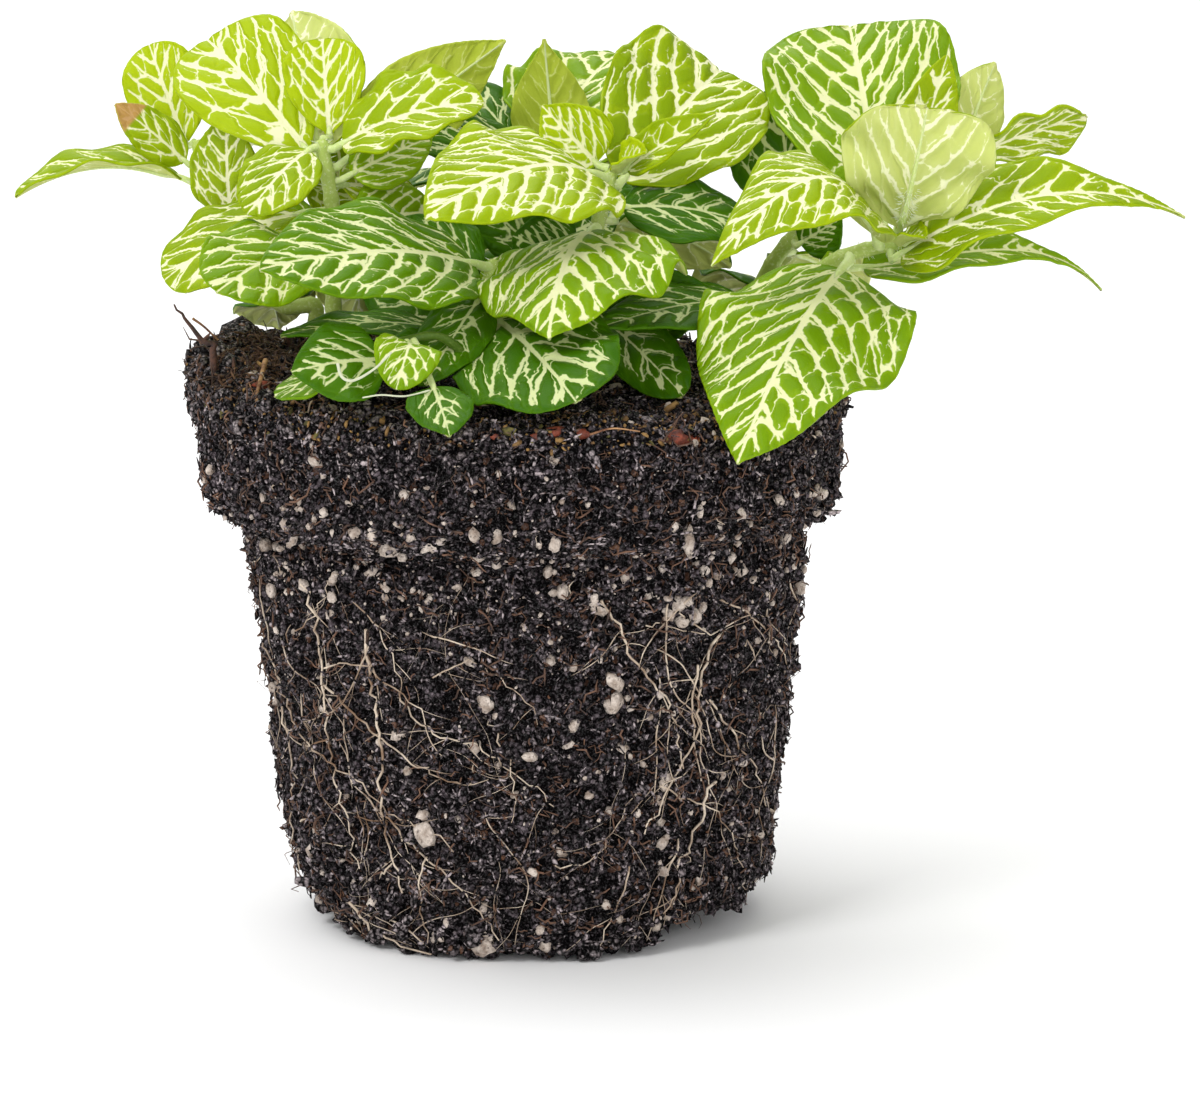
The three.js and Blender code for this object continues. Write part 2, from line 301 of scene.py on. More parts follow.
    inside = add("Math", {0: in_fine, 1: in_spur, 2: 0.2}, operation="SMOOTH_MAX")
    inside = add("Math", {0: inside, 1: in_side, 2: 0.4}, operation="SMOOTH_MAX")
    inside = add("Math", {0: inside, 1: mid, 2: 0.35}, operation="SMOOTH_MAX")
    ragged = add("TexNoise", {"Vector": where, "Scale": PER_MM / 0.7, "Detail": 3.0})
    ragged = add("MapRange", {"Value": ragged, 3: vein_gain - 0.23, 4: vein_gain + 0.11})
    field = add("Math", {0: inside, 1: ragged}, operation="ADD")
    vein = add("MapRange", {"Value": field, 1: -0.09, 2: 0.1, 3: 0.0, 4: contrast},
               interpolation_type="SMOOTHSTEP")

    # the green is deepest in the middle of a cell and yellower towards the veins, in blotches, and each
    # leaf's tint yellows it all over
    depth = add("MapRange", {"Value": bold, 1: -1.1, 2: 0.05})
    blotch = add("TexNoise", {"Vector": where, "Scale": PER_MM / 9, "Detail": 2.0})
    young = add("Math", {0: depth, 1: blotch}, operation="MULTIPLY")
    green = add("Mix", {0: young, 6: colour(dark), 7: colour(light)}, data_type="RGBA")
    tint = add("Attribute", attribute_name="tint").outputs["Fac"]
    aged = add("Mix", {0: tint, 6: green, 7: colour(light)}, data_type="RGBA")
    netted = add("Mix", {0: vein, 6: aged, 7: colour(pale)}, data_type="RGBA")
    # a leaf that has begun to wither is straw brown from its tip, in ragged patches
    dry = add("Math", {0: tint, 1: -1.3, 2: blotch}, operation="MULTIPLY_ADD")
    dry = add("MapRange", {"Value": dry, 1: 0.85, 2: 1.15, 3: 0.0, 4: 0.9})
    withered = add("Mix", {0: dry, 6: netted, 7: colour("#B98A52")}, data_type="RGBA")
    # the very margin is a thin pale line
    rim = add("MapRange", {"Value": edge_mm, 1: 0.35, 2: 0.1, 3: 0.0, 4: 0.4})
    edged = add("Mix", {0: rim, 6: withered, 7: colour(light)}, data_type="RGBA")

    # cells puff up between sunken veins, and the skin has a grain of 0.3 mm
    puff = add("MapRange", {"Value": bold, 1: -0.9, 2: 0.15, 3: 1.0, 4: 0.0}, interpolation_type="SMOOTHSTEP")
    grain = add("TexVoronoi", {"Vector": where, "Scale": PER_MM / 0.3})
    height = add("Math", {0: grain, 1: 0.12, 2: puff}, operation="MULTIPLY_ADD")
    feed(shader, {"Roughness": add("MapRange", {"Value": vein, 3: gloss, 4: gloss + 0.12})})
    finish_surface(add, shader, edged, height, puff_mm)
    return material


# young leaves are yellow-green, with broad cream veins
lime_skin = leaf_skin("young leaf, upper side", "#749200", "#AABF08", "#EAEABE", 0.0, 1.0, 0.45)
mid_skin = leaf_skin("grown leaf, upper side", "#5E8600", "#90B004", "#E2E4B0", 0.0, 1.0, 0.43)
# painted shade: the grown leaf's greens and veins, darkened for a leaf that another one keeps in half shade
painted_half_shade_skin = leaf_skin("grown leaf with painted half shade", "#3E6C00", "#729800", "#DCE0AA", 0.0, 0.98, 0.41)
# leaves in the plant's own shade: dark green and darker still as painted shade; blunt veins stop well before
# the margin
painted_shade_deep_skin = leaf_skin("dark leaf with painted shade, upper side", "#2C5A00", "#527E04", "#CED69C", 0.0, 0.97, 0.4,
                      plain_mm=2.2)
# undersides are dull and pale, with the net only a little lighter than the cells
back_skin = leaf_skin("leaf, underside", "#BDC866", "#CDD586", "#EEEFC6", -0.14, 0.95, 0.6, -0.2)
young_back_skin = leaf_skin("young leaf, underside", "#A2B32C", "#B8C548", "#D2DC80", -0.12, 0.8, 0.6, -0.2)


def stem_skin(name, low, high, pale):
    """Soft herbaceous stem: pale, watery green, blotched, dusted with pale down, a little see-through."""
    material, add, shader = new_material(
        name, Subsurface_Weight=0.25, Subsurface_Radius=(0.8, 1.0, 0.3), Subsurface_Scale=0.001,
        Roughness=0.5, IOR=1.4)
    where = add("TexCoord").outputs["Object"]
    blotch = add("TexNoise", {"Vector": where, "Scale": PER_MM / 5, "Detail": 3.0})
    fine = add("TexNoise", {"Vector": where, "Scale": PER_MM / 0.5, "Detail": 2.0})
    base = add("Mix", {0: blotch, 6: colour(low), 7: colour(high)}, data_type="RGBA")
    down = add("MapRange", {"Value": fine, 1: 0.52, 2: 0.75, 3: 0.0, 4: 0.5})
    done = add("Mix", {0: down, 6: base, 7: colour(pale)}, data_type="RGBA")
    finish_surface(add, shader, done, fine, 0.07)
    return material


stem_finish = stem_skin("soft stem", "#93AC3A", "#C6D67C", "#E6ECBE")
# painted shade: the soft stem's greens darkened, for the creeping shoot in the shade of the leaves
painted_shade_stem_finish = stem_skin("stem darkened as painted shade of the leaves", "#3E5A12", "#5E7C24", "#7E9440")
rib_finish = stem_skin("leaf stalk and rib", "#BED27A", "#DEEAAA", "#F2F5D0")
# a root tip that has not browned yet, and the stems' down: plain, as both are finer than their own grain
pale_finish = new_material("fresh rootlet", Roughness=0.45, Base_Color=colour("#C9CDB0"))[0]
hair_finish = new_material("stem hair", Roughness=0.6, Base_Color=colour("#EEF3DC"))[0]


def peat(name, dark, brown, ochre, brown_share):
    """Damp peat: black crumbs, brown fibres and a glint here and there; the dark gaps between the crumbs are
    painted shade.
    """
    material, add, shader = new_material(name, IOR=1.45)
    where = add("TexCoord").outputs["Object"]
    crumbs = add("TexVoronoi", {"Vector": where, "Scale": PER_MM / 0.9, "Randomness": 1.0})
    cloud = add("TexNoise", {"Vector": where, "Scale": PER_MM / 3, "Detail": 4.0})
    grit = add("TexNoise", {"Vector": where, "Scale": PER_MM / 0.4, "Detail": 3.0})
    # the shade attribute carries painted light and shade: lighter where the ball's peat stands out, darker in
    # its pits; on the crumbs it is a random tone with some of that painted light
    shade = add("Attribute", attribute_name="shade").outputs["Fac"]
    pick = add("SeparateXYZ", {0: crumbs.outputs["Color"]}).outputs
    speck = add("MapRange", {"Value": grit, 1: 0.4, 2: 0.62, 3: 0.1, 4: 0.8})
    lift = add("Math", {0: pick["X"], 1: speck}, operation="MULTIPLY")
    mixed = add("Math", {0: lift, 1: shade}, operation="ADD")
    # painted shade: the colour darkens towards each crumb's edge, standing in for the shade in the gaps
    # between crumbs
    painted_gap_shade = add("MapRange", {"Value": crumbs, 1: 0.3, 2: 0.6, 3: 1.0, 4: 0.0})
    seen = add("Math", {0: mixed, 1: painted_gap_shade}, operation="MULTIPLY")
    base = add("Mix", {0: seen, 6: colour(dark), 7: colour(brown)}, data_type="RGBA")
    rare = add("MapRange", {"Value": pick["Y"], 1: 1 - brown_share, 2: 1 - brown_share * 0.6, 3: 0.0, 4: 0.8})
    flecked = add("Mix", {0: rare, 6: base, 7: colour(ochre)}, data_type="RGBA")
    # only the wettest specks shine
    wet = add("MapRange", {"Value": grit, 1: 0.5, 2: 0.68, 3: 0.06, 4: 0.9})
    dull = add("MapRange", {"Value": grit, 1: 0.5, 2: 0.68, 3: 0.8, 4: 0.35})
    feed(shader, {"Specular IOR Level": wet, "Roughness": dull})
    height = add("Math", {0: crumbs, 1: -1.0, 2: cloud}, operation="MULTIPLY_ADD")
    height = add("Math", {0: grit, 1: 0.6, 2: height}, operation="MULTIPLY_ADD")
    finish_surface(add, shader, flecked, height, 0.6)
    return material


# painted shade: the ball's own skin lies deep between the crumbs, so its colours are darker than theirs,
# standing in for the shade there
peat_finish_with_painted_shade = peat("damp peat darkened as painted shade", "#060405", "#80747A", "#4A3226", 0.04)
crumb_finish = peat("peat crumbs", "#0A0708", "#C4B6B8", "#70503E", 0.05)


def plain_grain(name, low, high, dark, bump, grain_mm, **settings):
    """A grainy dry stuff in two tones with darker pits."""
    material, add, shader = new_material(name, **settings)
    where = add("TexCoord").outputs["Object"]
    cloud = add("TexNoise", {"Vector": where, "Scale": PER_MM / (3 * grain_mm), "Detail": 3.0})
    grit = add("TexNoise", {"Vector": where, "Scale": PER_MM / grain_mm, "Detail": 3.0})
    tone = add("MapRange", {"Value": cloud, 1: 0.34, 2: 0.64})
    base = add("Mix", {0: tone, 6: colour(low), 7: colour(high)}, data_type="RGBA")
    pit = add("MapRange", {"Value": grit, 1: 0.42, 2: 0.3, 3: 0.0, 4: 0.75})
    done = add("Mix", {0: pit, 6: base, 7: colour(dark)}, data_type="RGBA")
    finish_surface(add, shader, done, grit, bump)
    return material


# expanded perlite: chalky foam, pitted and stained by the peat
perlite_finish = plain_grain("perlite", "#9C8A7C", "#E0D2C6", "#3E302A", 0.8, 0.6, Roughness=0.85)
# roots and fibres: pale while they live, brown to black in the peat, matted and dull on the mound
root_finish = plain_grain("live root", "#7A5C42", "#DECDB8", "#5A4232", 0.1, 2.2, Roughness=0.6)
fibre_finish = plain_grain("peat fibre", "#1E1412", "#7A5844", "#0E0A09", 0.1, 1.2, Roughness=0.7)
mat_finish = plain_grain("matted fibre", "#1E1410", "#66482F", "#120C0A", 0.15, 0.9, Roughness=0.75)
straw_finish = plain_grain("brown straw", "#6A4028", "#B88C60", "#3A2216", 0.15, 0.8, Roughness=0.65)
bark_finish = plain_grain("dry twig and bark", "#2A1B16", "#5A3A2C", "#140D0B", 0.25, 0.5, Roughness=0.75)
# conifer bark: rust red inside; dry peat flakes: ochre; moss that has dried: dull olive
chip_finish = plain_grain("bark chip", "#4A2016", "#8E4028", "#24120E", 0.25, 0.5, Roughness=0.6)
flake_finish = plain_grain("dry flake", "#4E3420", "#9E7A44", "#241810", 0.2, 0.7, Roughness=0.8)
moss_finish = plain_grain("dried moss", "#3E3A1C", "#6E6630", "#22200F", 0.2, 0.5, Roughness=0.85)

# ---------------------------------------------------------------------------
# Root ball
# ---------------------------------------------------------------------------
BALL_HEIGHT = 95
FLAT_FOOT_RADIUS = 30
FOOT_EDGE = 3
RIM_EDGE = 2.5
RIM_RADIUS = 57.5
BALL_LEAN = -2.5        # how far the top has shifted sideways
CROWN_HEIGHT = 2.5      # how much higher the soil is in the middle
RIPPLE_HEIGHT = 0.5
TOP_SLOPE = 0.02
MOUND_X, MOUND_Y, MOUND_HEIGHT, MOUND_SPREAD = -50, 5, 8, 14
MOUND_BREAK = 4.0       # how much of the mound has broken away
COARSE_VOXEL = 2.0
FINE_VOXEL = 0.85
# name, kind, size in mm, push in mm, and the level of the pattern that stays where it is
BALL_TEXTURES = [
    ("clods", "CLOUDS", 7, 2.2, 0.55),
    ("crumbs", "VORONOI", 2.7, -3.2, 0.35),
    ("grit", "VORONOI", 1.5, -1.9, 0.35),
]
# the ball's outline from its flat foot up to the middle of its top, as (radius, height)
BALL_PROFILE = [
    (30, 0), (39.5, 0), (41.5, 3), (44.2, 24), (47.2, 48), (49.6, 67), (47.6, 71), (55, 73), (56.2, 84),
    (57.5, 92.5), (56.3, 95), (48, 95), (38, 95), (28, 95), (18, 95), (9, 95), (1, 95),
]


def smooth_step(low, high, value):
    t = np.clip((value - low) / (high - low), 0, 1)
    return t * t * (3 - 2 * t)


def leaning(height):
    """How far the ball's middle has shifted sideways at a height."""
    return BALL_LEAN * (np.minimum(height, BALL_HEIGHT) / BALL_HEIGHT) ** 2


def mound_share(x, y):
    """1 on the top of the mound, and 0 away from it."""
    return np.exp(-((x - MOUND_X) ** 2 + (y - MOUND_Y) ** 2) / (2 * MOUND_SPREAD ** 2))


def soil_height(x, y):
    """Height of the soil's surface over a point of the plan."""
    mound = MOUND_HEIGHT * mound_share(x, y)
    crown = CROWN_HEIGHT * (1 - (x * x + y * y) / RIM_RADIUS ** 2)
    ripple = RIPPLE_HEIGHT * np.sin(x / 9 + 1) * np.cos(y / 8)
    return BALL_HEIGHT + crown + mound + ripple - TOP_SLOPE * x


def crumbled(angle):
    """How much the underside has crumbled away, by the angle from the front."""
    right = 4 * smooth_step(0.5, 0.8, angle) * (1 - smooth_step(2.4, 2.8, angle))
    left = 3.5 * smooth_step(0.9, 1.2, -angle) * (1 - smooth_step(2.2, 2.6, -angle))
    return right + left


def make_root_ball():
    """A ring extruded up the pot's profile, leant and crumbled, then broken up into peat."""
    radius, height = BALL_PROFILE[0]
    ball = fresh("root_ball_peat", bpy.ops.mesh.primitive_circle_add, vertices=80,
                 radius=radius * MM, location=(0, 0, height * MM), fill_type="NOTHING")
    bpy.ops.object.mode_set(mode="EDIT")
    bpy.ops.mesh.select_all(action="SELECT")
    for wide, high in BALL_PROFILE[1:]:
        bpy.ops.mesh.extrude_region_move(TRANSFORM_OT_translate={"value": (0, 0, (high - height) * MM)})
        bpy.ops.transform.resize(value=(wide / radius, wide / radius, 1), center_override=(0, 0, high * MM))
        radius, height = wide, high
    bpy.ops.mesh.select_all(action="DESELECT")
    bpy.ops.mesh.select_non_manifold()
    bpy.ops.mesh.fill()
    bpy.ops.mesh.select_all(action="SELECT")
    bpy.ops.mesh.quads_convert_to_tris()
    bpy.ops.mesh.normals_make_consistent(inside=False)
    bpy.ops.object.mode_set(mode="OBJECT")

    # the extruded form still has long faces: a coarse voxel pass spaces its points evenly
    modify(ball, "REMESH", mode="VOXEL", voxel_size=COARSE_VOXEL * MM, use_smooth_shade=True)
    place = vertices(ball.data) / MM
    x, y, z = place.T.copy()
    around = np.arctan2(x, -y)
    out = np.hypot(x, y)
    foot = 1 - smooth_step(FOOT_EDGE, FOOT_EDGE + 6, z)
    top = smooth_step(BALL_HEIGHT - 8, BALL_HEIGHT - RIM_EDGE, z)
    dent = 1 + (1 - foot) * (1 - top) * (
        0.008 * np.sin(5 * around + z / 9) + 0.006 * np.sin(9 * around - z / 7))
    z += foot * crumbled(around) * smooth_step(FLAT_FOOT_RADIUS, FLAT_FOOT_RADIUS + 5, out)
    z += top * (soil_height(x + BALL_LEAN, y) - BALL_HEIGHT)
    z -= top * MOUND_BREAK * mound_share(x, y)
    x *= dent
    y *= dent
    x += leaning(z)
    set_vertices(ball.data, np.column_stack([x, y, z]) * MM)

    modify(ball, "REMESH", mode="VOXEL", voxel_size=FINE_VOXEL * MM, use_smooth_shade=True)
    before = vertices(ball.data)
    for name, kind, size_mm, push_mm, level in BALL_TEXTURES:
        texture = bpy.data.textures.new(name, kind)
        texture.noise_scale = size_mm * MM
        modify(ball, "DISPLACE", texture=texture, strength=push_mm * MM, mid_level=level,
               texture_coords="LOCAL")
    # painted light and shade: the peat's colour is lighter where it stands out and darker in its pits; its
    # flat foot stays flat
    place = vertices(ball.data)
    normals = np.empty(place.size)
    ball.data.vertices.foreach_get("normal", normals)
    raised = ((place - before) * normals.reshape(-1, 3)).sum(1) / MM
    flat = np.hypot(place[:, 0], place[:, 1]) < FLAT_FOOT_RADIUS * MM
    low = place[:, 2] < 2 * MM
    place[flat & low, 2] = 0
    place[:, 2] = np.maximum(place[:, 2], 0)
    set_vertices(ball.data, place)
    mark(ball.data, "shade", np.clip(0.06 + 0.26 * (raised - np.median(raised)), -0.45, 0.5))
    return part_of_plant(ball, [peat_finish_with_painted_shade], "potting_soil", "root_ball")


# ---------------------------------------------------------------------------
# Stems
# ---------------------------------------------------------------------------
GAP = 0.3
STEM_RADIUS = 1.6
# Each stem leaves the soil at its first point and passes through the rest.
STEM_ROUTES = {
    "left": [[-34, -9], [-34, -8, 112], [-34, -6, 124], [-36, -5, 137]],
    "far_left": [[-38, 9], [-44, 10, 106], [-54, 12, 119], [-59, 18, 134]],
    "front": [[-8, -20], [-8, -20, 106], [-6, -18, 118]],
    "creeping": [[-9, -32], [-10, -35, 103], [-15, -39, 108], [-24, -43, 107]],
    "centre": [[8, -8], [9, -8, 108], [11, -8, 120], [14, -6, 132]],
    "right": [[40, -3], [43, -4, 106], [52, -7, 116], [64, -10, 120]],
    "right_back": [[38, 16], [42, 15, 112], [55, 12, 125], [76, 7, 131]],
    "back": [[4, 24], [4, 25, 112], [2, 28, 134]],
    "back_left": [[-24, 24], [-26, 26, 112], [-30, 30, 128]],
}
TWIG_ROUTE = [[-54.5, -13], [-56, -13, 103], [-61, -12, 109.3]]


def smooth_line(points, steps=40):
    """Dense points of the smooth curve that the part's source draws through these points."""
    points = [np.array(p, float) for p in points]
    before = 2 * points[0] - points[1]
    after = 2 * points[-1] - points[-2]
    padded = [before, *points, after]
    dense = []
    for i in range(len(points) - 1):
        p0, p1, p2, p3 = padded[i:i + 4]
        d0, d1, d2 = [max(np.linalg.norm(b - a) ** 0.5, 1e-4) for a, b in ((p0, p1), (p1, p2), (p2, p3))]
        out = ((p1 - p0) / d0 - (p2 - p0) / (d0 + d1) + (p2 - p1) / d1) * d1
        into = ((p2 - p1) / d1 - (p3 - p1) / (d1 + d2) + (p3 - p2) / d2) * d1
        t = np.arange(steps)[:, None] / steps
        dense.append(p1 + out * t + (3 * (p2 - p1) - 2 * out - into) * t ** 2
                     + (2 * (p1 - p2) + out + into) * t ** 3)
    return np.vstack([*dense, points[-1]])


def from_soil(route):
    """A route's smooth line from the soil's surface up."""
    x, y = route[0]
    start = [x, y, soil_height(x, y) + 1.5 * GAP]
    return smooth_line([start, [x, y, start[2] + 3], *route[1:]])


def at_share(line, share):
    """The point at a share of a line's length, and the line's direction there."""
    steps = np.linalg.norm(np.diff(line, axis=0), axis=1)
    run = np.concatenate([[0], np.cumsum(steps)])
    want = share * run[-1]
    i = min(max(int(np.searchsorted(run, want)) - 1, 0), len(steps) - 1)
    along = (line[i + 1] - line[i]) / steps[i]
    return line[i] + along * (want - run[i]), along


def resampled(line, count):
    return np.array([at_share(line, share)[0] for share in np.linspace(0, 1, count)])


stem_lines = {name: from_soil(route) for name, route in STEM_ROUTES.items()}

# the stems look thinner in the photograph than they are in CAD, where the leaves start from STEM_RADIUS
USUAL_RADIUS = 1.35
THIN_STEMS = {"creeping": 0.75, "back": 1.2, "back_left": 1.2}
NODE_SPACING = 9


def make_stems():
    """Round stems that swell at their nodes and run down into the soil."""
    for name, line in stem_lines.items():
        length = np.linalg.norm(np.diff(line, axis=0), axis=1).sum()
        count = max(12, round(length / 0.8))
        points = resampled(line, count)
        points = np.vstack([points[0] - [0, 0, 5], points])
        run = np.linspace(0, 1, count + 1)
        node_swell = 0.16 * np.cos(run * length / NODE_SPACING * 2 * math.pi) ** 8
        radii = THIN_STEMS.get(name, USUAL_RADIUS) * (1.04 - 0.15 * run + node_swell)
        radii[-1] *= 0.6
        stem = strands("stem_" + name, [(points, radii)], 4)
        # the creeping shoot's green is darkened as painted shade
        finish = painted_shade_stem_finish if name == "creeping" else stem_finish
        part_of_plant(stem, [finish], "stem", "stem_" + name)


def unit(vector):
    return vector / np.linalg.norm(vector)


HAIRS_ON_A_STEM = 110


def make_stem_hairs(dice):
    """Fine white hairs, 0.5 to 1.2 mm long, on the stems' upper two thirds and on one bare leaf stalk."""
    hairs = []
    _, stem, share, tip, _, facing, arch, *_ = next(row for row in LEAF_ROWS if row[0] == "right_2")
    tip = np.array(tip, float)
    base, _ = leaf_base(stem_lines[stem], share, tip)
    stalk = Midrib(base, tip, np.array(facing, float), arch).at(np.linspace(0, 0.45, 20))
    haired = [line for name, line in stem_lines.items() if name != "creeping"]
    # that stalk is close to the viewer, so it has twice as many
    for line in [*haired, stalk, stalk]:
        for _ in range(HAIRS_ON_A_STEM):
            at, along = at_share(line, dice.uniform(0.35, 1.0))
            out = unit(np.cross(along, [dice.gauss(0, 1) for _ in range(3)]))
            root = at + out * 1.3
            tip = root + (out + along * dice.uniform(-0.2, 0.5)) * dice.uniform(0.5, 1.1)
            hairs.append(([root, (root + tip) / 2, tip], [0.06, 0.045, 0.015]))
    hair = strands("stem_hairs", hairs, 0)
    part_of_plant(hair, [hair_finish], "stem")


# ---------------------------------------------------------------------------
# Leaves
# ---------------------------------------------------------------------------
# name, stem, share of the stem's length, tip, blade width, way the upper side faces,
# arch of the midrib at its thirds, cup of the blade (edges up), stalk share, green
LEAF_ROWS = [
    ["left_1", "left", 0.92, [-57, 12, 154], 23, [0, -8, 5], [1, 2], 0.15, 0.12, "lime"],
    ["left_2", "left", 1, [-36, 1, 154], 14, [0, -10, 1], [1, 1], 0.1, 0.1, "lime"],
    ["left_3", "left", 0.97, [-48, -19, 126], 13, [-2, -9, 5], [3, 2], 0, 0.1, "lime"],
    ["left_4", "left", 0.95, [-8, -12, 145], 18, [0, -6, 8], [3, 3], 0.05, 0.15, "lime"],
    ["left_5", "left", 0.88, [-42, 24, 156], 23, [0, 9, 4], [-1, -1], 0, 0.15, "lime"],
    ["left_6", "left", 0.86, [-5, 24, 151], 17, [0, 8, 1], [1, 1], 0, 0.2, "lime"],
    ["left_7", "left", 0.78, [-20, 13, 126], 14, [0, -8, 5], [1, 1], 0, 0.2, "lime"],
    ["left_8", "left", 0.67, [-63, -11, 113.5], 18, [-2, -6, 8], [5, 4], 0, 0.25, "mid"],
    ["left_9", "left", 0.45, [-52, -38, 115.5], 21, [-1, -8, 6], [6, 5], 0, 0.2, "mid"],
    ["far_left_1", "far_left", 1, [-68, 28, 150], 14, [-1, -9, 3], [1, 1], 0.1, 0.12, "lime"],
    ["far_left_2", "far_left", 0.9, [-73, 15, 141], 9, [-2, -6, 7], [1, 1], 0, 0.15, "lime"],
    ["far_left_3", "far_left", 0.82, [-91, 8, 127], 12, [0, -1, 10], [6, 5], 0, 0.2, "lime"],
    ["far_left_4", "far_left", 0.6, [-53, 4, 140], 14, [-3, -9, 1], [1, 1], 0.1, 0.15, "mid"],
    ["front_1", "front", 0.93, [-44, -50, 121], 26, [0, -7, 8], [5, 5], 0.05, 0.12, "mid"],
    ["front_2", "front", 0.55, [8, -58, 100.3], 28, [1, -9, 5], [2, 3], 0, 0.25, "deep"],
    ["front_3", "front", 0.35, [-42, -30, 107], 13, [0, -2, 10], [4, 3], 0, 0.3, "deep"],
    ["centre_1", "centre", 0.93, [34, 16, 148.5], 29, [1, -9, 5], [1, 3], 0.15, 0.12, "mid"],
    ["centre_2", "centre", 1, [2, -6, 143], 13, [-3, -8, 5], [1, 1], 0.1, 0.1, "lime"],
    ["centre_3", "centre", 1, [31.5, -14, 142.5], 8, [2, -7, 7], [1, 1], 0.1, 0.1, "lime"],
    ["centre_4", "centre", 0.95, [-17, -40, 130], 30, [-1, -7, 8], [7, 6], 0, 0.1, "lime"],
    ["centre_5", "centre", 0.7, [3, -50, 111], 37, [-2, -4, 9], [5, 5], -0.14, 0.12, "mid"],
    ["centre_6", "centre", 0.75, [35, 2, 114], 16, [0, 8, 5], [4, 5], 0, 0.15, "deep"],
    ["centre_7", "centre", 0.82, [39, -5, 122], 16, [0, -6, 8], [3, 3], 0, 0.15, "deep"],
    ["centre_8", "centre", 0.14, [22, -18, 107], 11, [1, -9, 2], [0, 0], 0, 0.25, "deep"],
    ["centre_9", "centre", 0.3, [26, -32, 97], 12, [1, -9, 4], [3, 2], 0, 0.2, "deep"],
    ["centre_10", "centre", 0.4, [-12, -4, 130], 11, [-1, -9, 3], [-2, 0], 0, 0.4, "deep"],
    ["right_1", "right", 0.92, [56, 24, 156.5], 34, [0, -9, 5], [1, 2], 0.15, 0.28, "mid"],
    ["right_2", "right", 1, [67, -26, 145], 26, [0, 9, 2], [-4, -3], 0, 0.2, "lime"],
    ["right_3", "right", 0.94, [113, -24, 130], 20, [-1, -7, 9], [9, 13], 0, 0.1, "mid"],
    ["right_4", "right", 0.7, [101, -2, 112], 14, [0, -5, 9], [2, 13], 0, 0.15, "mid"],
    ["right_5", "right", 0.9, [29.3, -35, 120.5], 25, [-2, -6, 8], [21, 19], 0, 0.12, "lime"],
    ["right_6", "right", 0.75, [34.5, -56, 90.5], 36, [-1, -7, 7], [6, 6], 0, 0.15, "lime"],
    ["right_7", "right", 0.3, [12, -34, 109], 16, [-1, -5, 8], [6, 3], 0, 0.15, "deep"],
    ["right_8", "right", 0.98, [72, 1, 151], 11, [1, -9, 2], [0, 0], 0.1, 0.4, "mid"],
    ["right_back_1", "right_back", 0.97, [81, 16, 148], 12, [-1, 8, 3], [0, 0], 0.1, 0.12, "lime"],
    ["right_back_2", "right_back", 1, [97, 10, 138], 14, [0, -6, -7], [-2, -2], 0, 0.15, "lime"],
    ["right_back_3", "right_back", 0.45, [43, 20, 144], 20, [0, -9, 3], [0, 0], 0.1, 0.2, "deep"],
    ["right_back_4", "right_back", 0.4, [54, 6, 122], 10, [0, -9, 2], [0, 0], 0, 0.2, "deep"],
    ["right_back_5", "right_back", 0.6, [62, 46, 124], 22, [0, 5, 9], [5, 5], 0, 0.15, "mid"],
    ["back_1", "back", 0.97, [15, 54, 147], 28, [0, -2, 9], [2, 2], 0.1, 0.12, "deep"],
    ["back_2", "back", 0.87, [-19, 4, 134.5], 22, [0, -7, 7], [3, 2], 0, 0.15, "deep"],
    ["back_3", "back", 0.55, [12, 54, 118], 24, [0, 5, 9], [6, 6], 0, 0.15, "deep"],
    ["back_4", "back", 0.72, [34, 48, 130], 21, [1, 5, 9], [5, 4], 0, 0.2, "mid"],
    ["back_left_1", "back_left", 0.95, [-52, 48, 130], 22, [0, 4, 9], [5, 5], 0, 0.15, "mid"],
    ["back_left_2", "back_left", 0.8, [-22, 55, 121], 22, [0, 5, 9], [5, 5], 0, 0.15, "deep"],
    ["creeping_1", "creeping", 1, [-39, -51, 104], 15, [-1, -8, 5], [2, 2], 0, 0.2, "deep"],
    ["creeping_2", "creeping", 0.85, [-21.5, -57, 102], 11, [1, -8, 5], [5, 6], 0, 0.1, "lime"],
    ["creeping_3", "creeping", 0.9, [-42.5, -41, 98.5], 14, [0, -2, 10], [1, 1], 0, 0.2, "mid"],
    ["creeping_4", "creeping", 0.8, [-12.5, -66, 96], 11, [1, -7, 7], [0, 2], 0, 1.25, "deep"],
]
